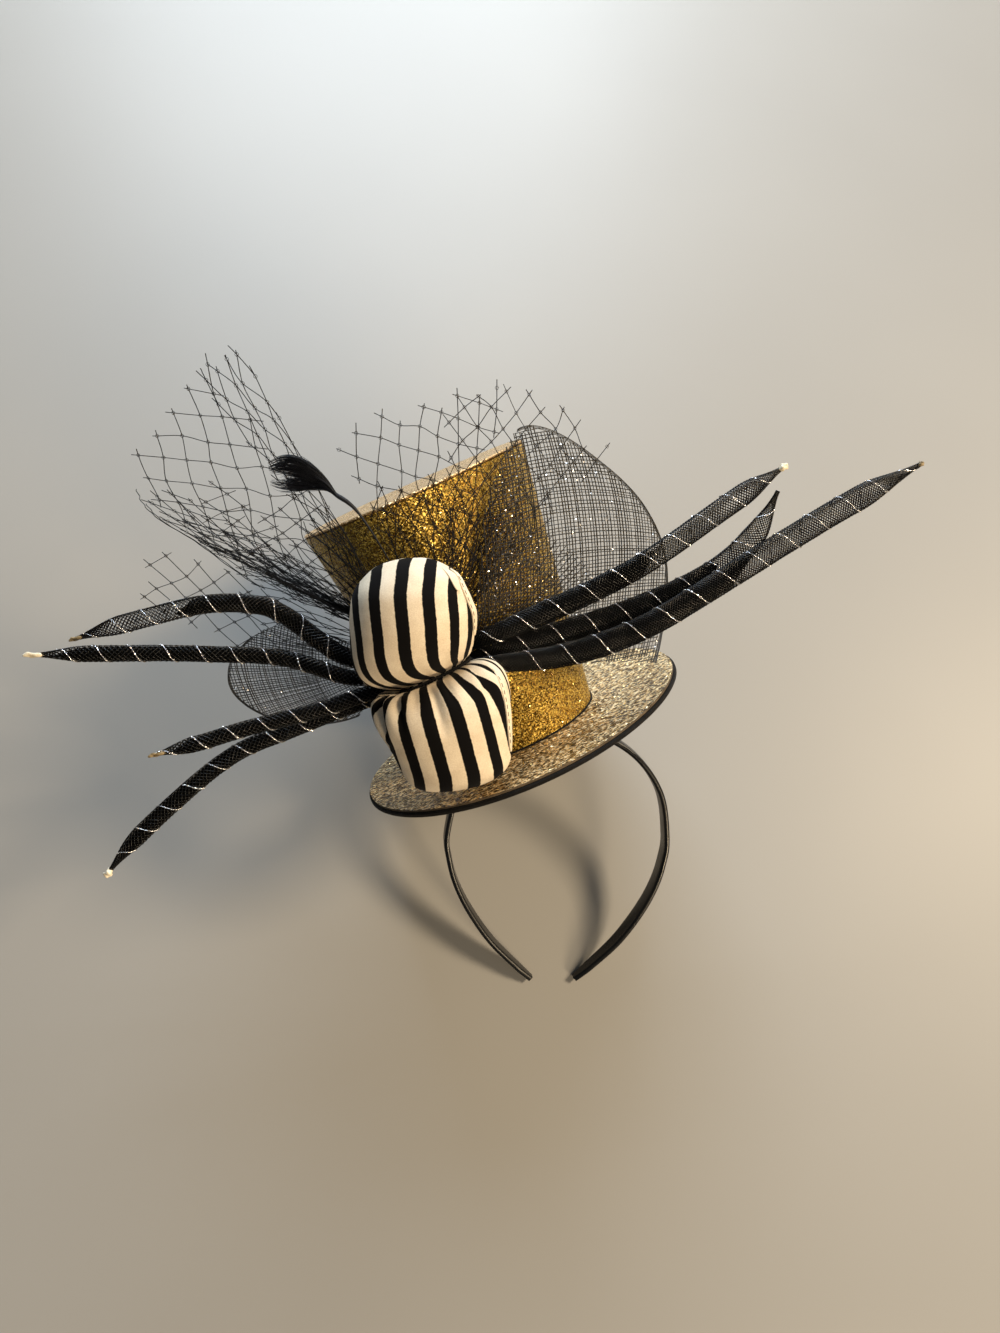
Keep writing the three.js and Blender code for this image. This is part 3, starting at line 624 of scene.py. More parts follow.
def thread_skin(tree, paths, thickness, sides, material, target):
    """Ends a tree: its paths become tubes, plain geometry with a material."""
    half = math_node(tree, "MULTIPLY", thickness, 0.5)
    section = add(tree, "GeometryNodeCurvePrimitiveCircle", {"Resolution": sides, "Radius": half})
    radius = add(tree, "GeometryNodeInputRadius")
    tube = add(tree, "GeometryNodeCurveToMesh", {"Curve": paths, "Profile Curve": section.outputs["Curve"],
                                                 "Scale": radius.outputs[0], "Fill Caps": True})
    smooth = add(tree, "GeometryNodeSetShadeSmooth", {"Geometry": tube.outputs["Mesh"]})
    plain = add(tree, "GeometryNodeRealizeInstances", {"Geometry": smooth.outputs[0]})
    painted = add(tree, "GeometryNodeSetMaterial", {"Geometry": plain.outputs[0], "Material": material})
    tree.links.new(painted.outputs[0], target)


lines = add(thread_tree, "GeometryNodeMeshToCurve", {"Mesh": thread_in["Geometry"]}).outputs["Curve"]
thread_skin(thread_tree, lines, thread_in["Thickness"], thread_in["Sides"], thread_in["Material"],
            thread_out["Geometry"])


def path_carrier(name, paths, taper=None):
    """A mesh of edges that holds worn-millimetre paths, with a radius on each point."""
    counts = [len(path) for path in paths]
    points = lay_down(np.vstack(paths))
    ends = np.cumsum(counts)
    starts = ends - counts
    edges = np.concatenate([np.column_stack([np.arange(a, b - 1), np.arange(a + 1, b)])
                            for a, b in zip(starts, ends)])
    mesh = bpy.data.meshes.new(name)
    mesh.from_pydata(points.tolist(), edges.tolist(), [])
    radius = mesh.attributes.new("radius", "FLOAT", "POINT")
    values = np.ones(len(points)) if taper is None else np.concatenate(taper)
    radius.data.foreach_set("value", values.astype(np.float32))
    return bpy.data.objects.new(name, mesh)


def run_tree(carrier, tree, name, material, **values):
    """Runs a tree on a carrier and keeps the result as a plain mesh."""
    wanted = {**{label.replace("_", " "): value for label, value in values.items()}, "Material": material}
    maker = carrier.modifiers.new("maker", "NODES")
    maker.node_group = tree
    for item in tree.interface.items_tree:
        if item.in_out == "INPUT" and item.name in wanted:
            maker[item.identifier] = wanted[item.name]
    scene.collection.objects.link(carrier)
    mesh = bpy.data.meshes.new_from_object(carrier.evaluated_get(bpy.context.evaluated_depsgraph_get()))
    bpy.data.objects.remove(carrier)
    mesh.name = name
    piece = bpy.data.objects.new(name, mesh)
    scene.collection.objects.link(piece)
    return piece


def thread_piece(name, paths, thickness, material, sides=4, taper=None):
    """Worn-millimetre paths as one piece of thread."""
    carrier = path_carrier(name + "_paths", paths, taper)
    return run_tree(carrier, thread_tree, name, material, Thickness=thickness / 1000, Sides=sides)


print("thread tree", len(thread_tree.nodes), "nodes")

# %% [markdown]
# ## Bow
# Two stuffed halves of striped cotton are drawn together at a waist. Each half is lofted through a short
# table of oval sections, then blown up a little as cloth, which rounds it between its gathers. The stripes
# run from the waist outwards, so they follow the cloth's own UV map: one unit across is one stripe.

# %% Striped cotton
BLACK_SHARE, INK_EDGE, INK_WOBBLE = 0.47, 0.012, 0.05
WEAVE_PER_STRIPE, WEAVE_PER_MM = 150.0, 11.0
striped_cotton, tree, shader = new_material(
    "striped_cotton", Roughness=0.9, Sheen_Weight=0.02, Specular_IOR_Level=0.08)
cloth_place = add(tree, "ShaderNodeUVMap", uv_map="cloth").outputs["UV"]
cloth_axes = add(tree, "ShaderNodeSeparateXYZ", {"Vector": cloth_place}).outputs
uneven = math_node(tree, "SUBTRACT", noise(tree, place_of(tree), 700.0), 0.5)
wobble = math_node(tree, "MULTIPLY", uneven, INK_WOBBLE)
stripe_place = math_node(tree, "FRACT", math_node(tree, "ADD", cloth_axes["X"], wobble))
from_middle = math_node(tree, "ABSOLUTE", math_node(tree, "SUBTRACT", stripe_place, 0.5))
is_black = map_range(tree, from_middle, BLACK_SHARE / 2 - INK_EDGE, BLACK_SHARE / 2 + INK_EDGE, 1.0, 0.0)
cotton = cloth_tone(tree, (0.66, 0.54, 0.39), (0.86, 0.75, 0.58), 2200)
printed = mix_colour(tree, is_black, cotton["Color"], (0.0035, 0.003, 0.003, 1))
tree.links.new(printed, shader.inputs["Base Color"])
warp = math_node(tree, "SINE", math_node(tree, "MULTIPLY", cloth_axes["X"], WEAVE_PER_STRIPE))
weft = math_node(tree, "SINE", math_node(tree, "MULTIPLY", cloth_axes["Y"], WEAVE_PER_MM))
woven = math_node(tree, "ADD", math_node(tree, "MULTIPLY", warp, weft), cotton["Height"])
add_relief(tree, shader, woven, 0.25, 0.0002)
print("striped cotton", len(tree.nodes), "nodes")

# %% [markdown]
# Each row of a table is one oval section, from the waist to the end: where its middle is, how wide and deep
# it is, and how it slants. Shallow pleats all round and a few deeper folds start at the waist and fade out.

# %% Sections of the bow
PUFF_TABLES = {  # middle (right, up), half width, half depth, back, slant in degrees
    "upper": np.array([
        (-44.6, 37.4, 13.8, 4.6, -63.0, 29), (-44.9, 38.0, 14.6, 5.4, -63.4, 29),
        (-46.8, 39.2, 18.4, 9.4, -65.0, 28), (-50.2, 41.6, 22.2, 13.2, -67.0, 25),
        (-52.7, 45.6, 24.7, 15.8, -69.0, 22), (-54.2, 52.2, 25.6, 17.8, -70.5, 18),
        (-55.0, 59.4, 25.3, 18.6, -71.2, 14), (-56.0, 66.4, 24.0, 18.0, -71.5, 8),
        (-56.7, 72.9, 22.0, 16.6, -71.5, 5), (-56.3, 78.8, 18.2, 13.2, -71.2, 5),
        (-56.0, 82.6, 12.9, 9.0, -70.8, 3), (-55.2, 84.8, 6.4, 4.4, -70.4, 4),
        (-54.6, 85.4, 1.2, 1.0, -70.0, 3)]),
    "lower": np.array([
        (-44.6, 36.4, 13.8, 4.6, -63.0, 29), (-44.8, 35.8, 14.6, 5.4, -63.4, 29),
        (-46.0, 36.2, 18.6, 8.8, -65.4, 25), (-46.8, 36.3, 22.6, 12.0, -67.6, 21),
        (-46.2, 34.9, 25.4, 14.2, -69.2, 19), (-44.7, 31.8, 27.0, 16.0, -70.2, 18),
        (-42.7, 26.6, 27.5, 17.4, -70.8, 17), (-40.6, 20.4, 26.9, 18.0, -71.0, 14),
        (-38.4, 13.6, 25.5, 17.8, -70.8, 12), (-36.4, 7.0, 24.1, 17.0, -70.4, 10),
        (-34.6, 1.0, 22.6, 16.4, -70.0, 11), (-33.8, -3.9, 19.8, 14.4, -69.4, 11),
        (-33.6, -7.2, 14.0, 9.8, -68.8, 11), (-33.8, -8.6, 3.0, 2.2, -68.2, 10)]),
}
PUFF_RUNS = {half: np.concatenate([[0], np.cumsum(np.hypot(*np.diff(table[:, :2], axis=0).T))])
             for half, table in PUFF_TABLES.items()}
PLEATS = {"upper": 11, "lower": 10}
PLEAT_DEPTH, PLEAT_END = {"upper": 0.08, "lower": 0.10}, {"upper": 16.0, "lower": 20.0}
PLEAT_START, PLEAT_FULL, PLEAT_SHARP, FOLD_HOLDS = 0.6, 4.0, 1.8, 0.25
FOLDS = {  # angle and half width in degrees, depth as a share of the section, reach in mm
    "upper": [(207, 6, 0.06, 16), (228, 5, 0.05, 12), (318, 6, 0.06, 12)],
    "lower": [(205, 5, 0.20, 30), (232, 5, 0.14, 22), (250, 4, 0.07, 14), (268, 6, 0.15, 30),
              (284, 4, 0.16, 13), (301, 5, 0.10, 16), (322, 6, 0.12, 26)],
}


def puff_run(half, place):
    """Millimetres from the waist, for a place from 0 to 1."""
    return np.interp(place, np.linspace(0, 1, len(PUFF_RUNS[half])), PUFF_RUNS[half])


def puff_points(half, place, angle, out=0.0):
    """Worn places on a puff, for a place from 0 at the waist to 1 at the end, and an angle round it."""
    right, up, wide, deep, back, slant = np.moveaxis(smooth_rows(PUFF_TABLES[half], place), -1, 0)
    slant, run = np.radians(slant), puff_run(half, place)
    begin = smoothstep(run, PLEAT_START, PLEAT_FULL)
    # The sines make the pleats uneven.
    turns = PLEATS[half] * angle / 2 + 0.5 * np.sin(2 * angle + 1.0) + 0.3 * np.sin(5 * angle)
    valley = (1 - np.abs(np.sin(turns))) ** PLEAT_SHARP * (0.6 + 0.4 * np.sin(3 * angle + 0.7))
    fold = 1 - PLEAT_DEPTH[half] * begin * (1 - smoothstep(run, PLEAT_FULL, PLEAT_END[half])) * valley
    for middle, width, depth, reach in FOLDS[half]:
        off = (np.degrees(angle) - middle) / width
        fold = fold - depth * begin * (1 - smoothstep(run, FOLD_HOLDS * reach, reach)) * np.exp(-off ** 2)
    across = (wide * fold + out) * np.cos(angle)
    depth = (deep * fold + out) * np.sin(angle)
    return np.stack([right + across * np.cos(slant), back + depth, up + across * np.sin(slant)], axis=-1)


for half, runs in PUFF_RUNS.items():
    print(half, "half of the bow, length in mm", round(runs[-1], 1))

# %% [markdown]
# A stripe keeps its angle round the puff up to the widest ring. Beyond it the stripes run straight on over
# the end. Towards the waist the gathers draw more stripes to the front. Front and back meet in a seam at the
# sides, so a face belongs to one or the other.

# %% Print the stripes
STRIPES = 15
BLACK_MIDDLE = {"upper": math.radians(261.5), "lower": math.radians(282)}
GATHER = {"upper": 0.08, "lower": 0.28}
PUFF_RINGS, PUFF_SIDES = 91, 160


def stripe_places(half, place, angle, front):
    table, run = PUFF_TABLES[half], puff_run(half, place)
    widest = table[:, 2].argmax()
    wide = smooth_rows(table, place)[..., 2]
    share = np.where(run > PUFF_RUNS[half][widest], np.minimum(wide / table[widest, 2], 1), 1.0)
    turn = np.arccos(np.clip(share * np.cos(angle), -1, 1)) - math.pi / 2
    turn = turn * (1 + GATHER[half] * (1 - smoothstep(run, 0, PUFF_RUNS[half][widest])))
    turn = np.where(front, 1.5 * math.pi - turn, 0.5 * math.pi + turn)
    return (turn - BLACK_MIDDLE[half]) / (2 * math.pi) * STRIPES + 0.5


def print_stripes(piece, half, place, angle):
    """Gives each corner its stripe number and its distance from the waist."""
    mesh = piece.data
    corner = np.empty(len(mesh.loops), np.int32)
    mesh.loops.foreach_get("vertex_index", corner)
    sizes = np.empty(len(mesh.polygons), np.int32)
    mesh.polygons.foreach_get("loop_total", sizes)
    starts = np.concatenate([[0], np.cumsum(sizes)[:-1]])
    on_ring = corner < len(place)
    first_known = np.minimum.reduceat(corner, starts)
    corner = np.where(on_ring, corner, np.repeat(first_known, sizes))
    front = np.add.reduceat(np.where(on_ring, np.sin(angle[corner]), 0), starts) < 0
    stripe = stripe_places(half, place[corner], angle[corner], np.repeat(front, sizes))
    run = puff_run(half, place[corner])
    mesh.uv_layers.new(name="cloth").data.foreach_set("uv", np.column_stack([stripe, run]).ravel())


def make_puff(half):
    place, angle = np.meshgrid(np.linspace(0, 1, PUFF_RINGS),
                               np.linspace(0, 2 * math.pi, PUFF_SIDES, endpoint=False), indexing="ij")
    points, faces = capped_tube(puff_points(half, place, angle))
    piece = face_outward(make_piece(f"bow_{half}_cotton", lay_down(points), faces, [striped_cotton]))
    print_stripes(piece, half, place.ravel(), angle.ravel())
    return piece


print("stripes round each half", STRIPES)

# %% [markdown]
# The filling pushes the cotton out evenly. Cloth with a little pressure does the same: the waist is pinned,
# gravity is off, and each point may move only a short way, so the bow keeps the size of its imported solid. So
# small a piece needs far more pressure than a cushion does before its cloth moves at all.

# %% Blow the bow up as cloth
PRESSURE = {"upper": 300.0, "lower": 60.0}
CLOTH_STIFF, CLOTH_BEND, CLOTH_MASS, CLOTH_QUALITY = 5.0, 0.05, 0.1, 6
SIM_FRAMES, MOST_MOVE, PINNED_RINGS, PUFF_FILL = 16, 0.0009, 20, 0.85


def blow_up(piece, pinned, pressure):
    """Runs the cloth, and keeps its shape up to the most a point may move."""
    group = piece.vertex_groups.new(name="waist")
    group.add(pinned, 1.0, "REPLACE")
    cloth = piece.modifiers.new("filling", "CLOTH")
    cloth.settings.quality = CLOTH_QUALITY
    cloth.settings.mass = CLOTH_MASS
    cloth.settings.tension_stiffness = CLOTH_STIFF
    cloth.settings.compression_stiffness = CLOTH_STIFF
    cloth.settings.bending_stiffness = CLOTH_BEND
    cloth.settings.use_pressure = True
    cloth.settings.uniform_pressure_force = pressure
    cloth.settings.vertex_group_mass = "waist"
    cloth.settings.effector_weights.gravity = 0
    cloth.point_cache.frame_end = SIM_FRAMES
    before = np.array([v.co for v in piece.data.vertices])
    for number in range(1, SIM_FRAMES + 1):
        scene.frame_set(number)
    blown = piece.evaluated_get(bpy.context.evaluated_depsgraph_get()).data
    after = np.array([v.co for v in blown.vertices])
    move = after - before
    length = np.linalg.norm(move, axis=1)[:, None]
    kept = before + move * np.minimum(1, MOST_MOVE / np.maximum(length, 1e-9))
    piece.modifiers.remove(cloth)
    piece.vertex_groups.remove(group)
    piece.data.vertices.foreach_set("co", kept.astype(np.float32).ravel())
    piece.data.update()
    scene.frame_set(1)
    mean, most = (round(float(value) * 1000, 2) for value in (length.mean(), length.max()))
    print(piece.name, "moved mm: mean", mean, "most", most)


for half in ("upper", "lower"):
    puff = make_puff(half)
    blow_up(puff, list(range(PINNED_RINGS * PUFF_SIDES)), PRESSURE[half])
    finish_piece(puff, "striped_cloth", f"bow_puff_{half}")

# %% [markdown]
# ## Hems and stitches of the bow
# The cotton's folded edges show down the right side of each half. Each is a thin strip that stands a little
# proud. On the lower half the top of the edge turns outwards as a lip with a black stripe along it. Rows of
# short dark stitches hold the long hems.

# %% Hems and stitches
PLAIN = (0.0, 0.0, 0.0)
HEMS = {  # half, reach along the puff, angles across in degrees, how far it stands out, stripe across
    "bow_upper_hem": ("upper", (0.36, 0.80), (-24, -8), 0.3, PLAIN),
    "bow_upper_tuck": ("upper", (0.67, 0.82), (-40, -26), 0.5, PLAIN),
    "bow_lower_hem": ("lower", (0.34, 0.72), (-24, -6), 0.3, PLAIN),
    "bow_lower_lip": ("lower", (0.10, 0.52), (-18, 12), 2.2, (0.05, 0.5, 0.9)),
}
STITCHED, SEAM_COLUMN, SEAM_TRIM = ("bow_upper_hem", "bow_lower_hem"), 2, 4
HEM_THICK, HEM_GAP, HEM_RISE, HEM_STEPS, HEM_ACROSS = 0.45, 0.05, 0.15, 60, 13
HEM_INK_PLACES, HEM_UV_LENGTH, HEM_SHARP = (0.28, 0.42, 0.70), 30, 60
STITCH_EVERY, STITCH_LONG, STITCH_THICK, STITCH_POINTS = 3.0, 1.7, 0.35, 5
stitches = []
for name, (half, places, angles, proud, inks) in HEMS.items():
    share = np.linspace(0, 1, HEM_ACROSS)
    place, angle = np.meshgrid(np.linspace(*places, HEM_STEPS), np.radians(np.linspace(*angles, HEM_ACROSS)),
                               indexing="ij")
    taper = np.sin(np.pi * np.linspace(0.02, 0.98, HEM_STEPS)) ** 0.5
    angle = angle.mean() + (angle - angle.mean()) * taper[:, None]
    out = HEM_GAP + (HEM_RISE + proud * np.sin(np.pi * share * 0.75) ** 1.5)[None] * taper[:, None]
    top, low = (puff_points(half, place, angle, out + thick) for thick in (HEM_THICK, 0.0))
    points, faces = capped_tube(np.concatenate([top, low[:, ::-1]], axis=1))
    ink = np.interp(share, HEM_INK_PLACES, inks)
    ink = np.concatenate([ink, ink[::-1]])[None] + 0 * place[:, :1]
    uv = np.stack([ink, HEM_UV_LENGTH * place[:, :1] + 0 * ink], -1)
    uv = np.vstack([uv.reshape(-1, 2), uv[0, 0], uv[-1, 0]])
    strip = make_piece(name, lay_down(points), faces, [striped_cotton], uv=uv, sharp=HEM_SHARP)
    finish_piece(face_outward(strip), "striped_cloth")
    if name in STITCHED:
        seam = top[SEAM_TRIM:-SEAM_TRIM, SEAM_COLUMN]
        run = np.concatenate([[0], np.cumsum(np.linalg.norm(np.diff(seam, axis=0), axis=1))])
        for start in np.arange(1, run[-1] - STITCH_LONG, STITCH_EVERY):
            stops = np.linspace(start, start + STITCH_LONG, STITCH_POINTS)
            stitches.append(np.column_stack([np.interp(stops, run, seam[:, k]) for k in range(3)]))
bow_stitches = thread_piece("bow_stitches", stitches, STITCH_THICK, cord_black, sides=6)
finish_piece(bow_stitches, "black_cord")

# %% [markdown]
# ## Waist cord
# A thin twisted cord is drawn round the waist. Two plies wind round each other along an oval.

# %% Waist cord
TIE_MIDDLE = np.array([-44.6, -63.1, 36.9])
TIE_HALF, TIE_DEEP, TIE_SLANT = 15.7, 6.4, math.radians(29)
TIE_TWISTS, TIE_STEPS, PLY_OFFSET, PLY_THICK = 34, 340, 0.38, 0.8
plies = []
angle = np.linspace(0, 2 * math.pi, TIE_STEPS)
for phase in (0, math.pi):
    twist = TIE_TWISTS * angle + phase
    across = (TIE_HALF + PLY_OFFSET * np.cos(twist)) * np.cos(angle)
    depth = (TIE_DEEP + PLY_OFFSET * np.cos(twist)) * np.sin(angle)
    rise = PLY_OFFSET * np.sin(twist)
    right = across * math.cos(TIE_SLANT) - rise * math.sin(TIE_SLANT)
    up = across * math.sin(TIE_SLANT) + rise * math.cos(TIE_SLANT)
    plies.append(TIE_MIDDLE + np.column_stack([right, depth, up]))
bow_waist_cord = thread_piece("bow_waist_cord", plies, PLY_THICK, cord_black, sides=6)
finish_piece(bow_waist_cord, "black_cord", "bow_tie")

# %% [markdown]
# ## Braided tubes
# Seven stiff tubes of braided horsehair mesh fan out from behind the bow. In a braid half of the strands
# wind one way and half the other. The tree copies a tube's path once for each strand and turns each copy
# round it. The section swells from the root and closes at the pinched tip.

# %% Braid tree
TUBE_WIDTH, TUBE_DEEP = 8.2, 4.8
TUBE_ROOT, TUBE_SWELL, TUBE_TIP, TUBE_TAPER = 0.6, 0.28, 0.16, 0.14
UNDER_SHARE = 0.95
braid_tree, braid_in, braid_out = new_group(
    "braided_tube", "GeometryNodeTree",
    [("Geometry", GEOMETRY), ("Strands", INTEGER, 20), ("Turns", FLOAT, 8.0), ("Back turns", FLOAT, -8.0),
     ("Start", FLOAT, 0.0), ("Width", FLOAT, TUBE_WIDTH / 1000), ("Depth", FLOAT, TUBE_DEEP / 1000),
     ("Steps", INTEGER, 150), ("Thickness", FLOAT, 0.0003), ("Sides", INTEGER, 3), ("Material", MATERIAL)],
    [("Geometry", GEOMETRY)])
tube_line = add(braid_tree, "GeometryNodeMeshToCurve", {"Mesh": braid_in["Geometry"]}).outputs["Curve"]
tube_path = add(braid_tree, "GeometryNodeResampleCurve", {"Curve": tube_line, "Count": braid_in["Steps"]})
along = add(braid_tree, "GeometryNodeSplineParameter").outputs["Factor"]
tangent = add(braid_tree, "GeometryNodeInputTangent").outputs["Tangent"]
sideways = vector_node(braid_tree, "CROSS_PRODUCT", tangent, tuple(BACKWARD))
to_side = vector_node(braid_tree, "NORMALIZE", sideways)
to_front = vector_node(braid_tree, "CROSS_PRODUCT", to_side, tangent)
swell = map_range(braid_tree, along, 0.0, TUBE_SWELL, TUBE_ROOT, interpolation_type="SMOOTHSTEP")
pinch = map_range(braid_tree, along, 1.0, 1 - TUBE_TAPER, TUBE_TIP, interpolation_type="SMOOTHSTEP")
size = math_node(braid_tree, "MULTIPLY", math_node(braid_tree, "MULTIPLY", swell, pinch), 0.5)
both_ways = add(braid_tree, "GeometryNodeJoinGeometry")


def reach_across(near, label, wave, angle):
    """How far a strand lies from the tube's middle line, along the width or the depth."""
    half = math_node(braid_tree, "MULTIPLY", near, braid_in[label])
    return math_node(braid_tree, "MULTIPLY", half, math_node(braid_tree, wave, angle))


for turns, closeness in (("Turns", 1.0), ("Back turns", UNDER_SHARE)):
    copies = add(braid_tree, "GeometryNodeDuplicateElements",
                 {"Geometry": tube_path.outputs[0], "Amount": braid_in["Strands"]}, domain="SPLINE").outputs
    share = math_node(braid_tree, "DIVIDE", copies["Duplicate Index"], braid_in["Strands"])
    turned = math_node(braid_tree, "MULTIPLY", along, braid_in[turns])
    wound = math_node(braid_tree, "ADD", turned, braid_in["Start"])
    angle = math_node(braid_tree, "MULTIPLY", math_node(braid_tree, "ADD", share, wound), math.tau)
    near = math_node(braid_tree, "MULTIPLY", size, closeness)
    wide = scaled(braid_tree, to_side, reach_across(near, "Width", "COSINE", angle))
    deep = scaled(braid_tree, to_front, reach_across(near, "Depth", "SINE", angle))
    wound_copies = add(braid_tree, "GeometryNodeSetPosition", {
        "Geometry": copies["Geometry"], "Offset": vector_node(braid_tree, "ADD", wide, deep)})
    braid_tree.links.new(wound_copies.outputs[0], both_ways.inputs[0])
thread_skin(braid_tree, both_ways.outputs[0], braid_in["Thickness"], braid_in["Sides"], braid_in["Material"],
            braid_out["Geometry"])
print("braid tree", len(braid_tree.nodes), "nodes")

# %% [markdown]
# A tube's path is a short list of places, from the pad behind the bow to the tip. Each tube has a black
# filling that stops short of the tip with a slanted end. Past the filling the bare mesh is see-through.

# %% Paths and fillings of the tubes
TUBES = {  # right, back, up
    "a": [(-47, -43.9, 41.5), (-79, -49.5, 39.5), (-107, -50.5, 57), (-121, -50, 61), (-141.5, -49, 59.5),
          (-171, -47, 50.5), (-193, -46, 42.5)],
    "b": [(-47, -41.6, 34.6), (-76.5, -55, 32.5), (-105.5, -54, 39.5), (-134.5, -55, 40.5), (-163.5, -56, 40),
          (-206.5, -58, 38)],
    "c": [(-47, -52.6, 34), (-74.5, -60, 26.5), (-90, -61, 20.5), (-119, -64, 12.5), (-138, -67, 6.5),
          (-156, -70, 1.5)],
    "d": [(-47, -39.7, 27.8), (-73.5, -52, 22), (-104, -54, 9), (-127, -56, -2), (-150, -59, -22),
          (-168, -61, -41), (-177, -62, -53.5)],
    "e": [(-38, -46.6, 44), (-19, -56.5, 54.5), (9.5, -56, 68.5), (28.5, -53, 78), (47, -49, 89),
          (78, -44, 112), (102.5, -40, 129.5)],
    "f": [(-38, -44.5, 35.6), (-19.5, -54, 45.5), (7.5, -54.5, 55), (32.5, -52.5, 63.5), (58, -51, 75),
          (75.5, -50.5, 86), (88, -51.5, 100), (95, -54, 119)],
    "g": [(-38, -52.7, 37.6), (-19.5, -58.5, 41.6), (7, -58.5, 46), (29.5, -58, 53.5), (48.5, -57, 63),
          (67.5, -56, 75.5), (118, -53, 109.5), (158.5, -50, 134)],
}
TUBE_WIDTHS = {"a": 7.6, "b": 6.6, "c": 6.4, "d": 7.0, "e": 9.6, "f": 10.6, "g": 10.6}
CORE_END = {"a": 0.70, "b": 0.93, "c": 0.92, "d": 0.95, "e": 0.57, "f": 0.74, "g": 0.60}
CORE_SCALE, CORE_SLANT, CORE_SHARP, CORE_STEPS, CORE_RINGS, CORE_SIDES = 0.86, 0.022, 60, 400, 90, 20
SLANT_POWER, CLOSE_POWER = 12, 40


def tube_size(place):
    """Share of the full section at a place from 0 at the root to 1 at the tip."""
    root = TUBE_ROOT + (1 - TUBE_ROOT) * smoothstep(place, 0, TUBE_SWELL)
    return root * (TUBE_TIP + (1 - TUBE_TIP) * smoothstep(1 - place, 0, TUBE_TAPER))


def tube_core(name, rows, end, width):
    """The filling: a smooth tube inside the braid, cut off at a slant."""
    path, tangent, _ = even_path(rows, CORE_STEPS)
    place = np.linspace(0, 1, CORE_STEPS)
    u = np.linspace(0, 1, CORE_RINGS)[:, None]
    turn = np.linspace(0, math.tau, CORE_SIDES, endpoint=False)[None]
    t = np.clip(u * end + CORE_SLANT * np.cos(turn) * u ** SLANT_POWER, 0, 1)
    middle = np.stack([np.interp(t, place, path[:, k]) for k in range(3)], -1)
    along = np.stack([np.interp(t, place, tangent[:, k]) for k in range(3)], -1)
    across = np.cross(along, [0, 1, 0])
    across /= np.linalg.norm(across, axis=-1, keepdims=True)
    size = (tube_size(t) * CORE_SCALE / 2 * (1 - 0.5 * u ** CLOSE_POWER))[..., None]
    rings = (middle + across * size * width * np.cos(turn)[..., None]
             + np.cross(across, along) * size * TUBE_DEEP * np.sin(turn)[..., None])
    points, faces = capped_tube(rings)
    return face_outward(make_piece(name, lay_down(points), faces, [core_black], sharp=CORE_SHARP))


print("tubes", len(TUBES))

# %% [markdown]
# A wider tube is braided from more strands, so that its mesh is as fine. One silver thread winds round each
# tube, a little outside the braid. The tree makes it too, with a single strand.

# %% Braid the tubes
BRAID_PITCH, BRAID_STRANDS, BRAID_THICK, BRAID_POINTS = 21.0, 13, 0.42, 120
SILVER_PITCH = {"a": -13, "b": -13, "c": -13, "d": -13, "e": -15, "f": -15, "g": -15}
SILVER_THICK, SILVER_CLEAR, SILVER_START, SILVER_STEPS = 0.3, 0.5, 0.15, 260
for letter, rows in TUBES.items():
    path, _, length = even_path(rows, BRAID_POINTS)
    turns, width = length / BRAID_PITCH, TUBE_WIDTHS[letter]
    braid = run_tree(path_carrier(f"crin_{letter}_path", [path]), braid_tree, f"crin_{letter}_braid",
                     crin_black, Strands=round(BRAID_STRANDS * width / TUBE_WIDTH), Turns=turns,
                     Back_turns=-turns, Width=width / 1000, Thickness=BRAID_THICK / 1000)
    finish_piece(braid, "crin_mesh", f"crin_{letter}")
    finish_piece(tube_core(f"crin_{letter}_filling", rows, CORE_END[letter], width), "crin_mesh")
    winding = length / SILVER_PITCH[letter]
    silver = run_tree(path_carrier(f"crin_{letter}_silver_path", [path]), braid_tree, f"crin_{letter}_silver",
                      silver_thread, Strands=1, Turns=winding, Back_turns=winding, Start=SILVER_START,
                      Width=(width + SILVER_CLEAR) / 1000, Depth=(TUBE_DEEP + SILVER_CLEAR) / 1000,
                      Steps=SILVER_STEPS, Thickness=SILVER_THICK / 1000, Sides=5)
    finish_piece(silver, "crin_mesh")
    print("tube", letter, "length, mm", round(length, 1))

# %% [markdown]
# The cut ends of the mesh are sealed with drops of glue, some cream and some brown. A drop is a sphere
# drawn out along the tube and made lumpy with a few waves.

# %% Glue drops at the tips
cream_glue = fibre_finish("cream_glue", (0.62, 0.52, 0.34), (0.90, 0.82, 0.66), 900, 0.5, 0.35)
brown_glue = fibre_finish("brown_glue", (0.10, 0.07, 0.03), (0.42, 0.32, 0.18), 900, 0.6, 0.3)
DROPS = {  # half length, half width, material
    "a": (3.6, 0.9, brown_glue), "b": (4.6, 1.1, cream_glue), "c": (4.4, 0.9, brown_glue),
    "d": (2.2, 1.6, cream_glue), "e": (2.6, 1.5, cream_glue), "g": (1.6, 1.0, brown_glue),
}
DROP_RINGS, DROP_SIDES, DROP_SUNK, DROP_POINTS = 18, 14, 0.55, 200
u = np.linspace(0.02, 0.98, DROP_RINGS)[:, None] * math.pi
v = np.linspace(0, math.tau, DROP_SIDES, endpoint=False)[None]
lumps = 1 + 0.22 * np.sin(3 * u + 2 * v + 1) + 0.16 * np.sin(5 * u - v) + 0.12 * np.cos(7 * u + 3 * v)
for letter, (half_long, half_wide, material) in DROPS.items():
    path, tangent, _ = even_path(TUBES[letter], DROP_POINTS)
    middle, along = path[-1] - tangent[-1] * half_long * DROP_SUNK, tangent[-1]
    across = np.cross(along, [0, 1, 0])
    across /= np.linalg.norm(across)
    ring = half_wide * np.sin(u) * lumps
    rings = (middle - along * (half_long * np.cos(u) + 0 * v)[..., None]
             + across * (ring * np.cos(v))[..., None]
             + np.cross(across, along) * (ring * np.sin(v))[..., None])
    points, faces = capped_tube(rings)
    drop = face_outward(make_piece(f"crin_{letter}_drop", lay_down(points), faces, [material]))
    finish_piece(drop, "crin_mesh")

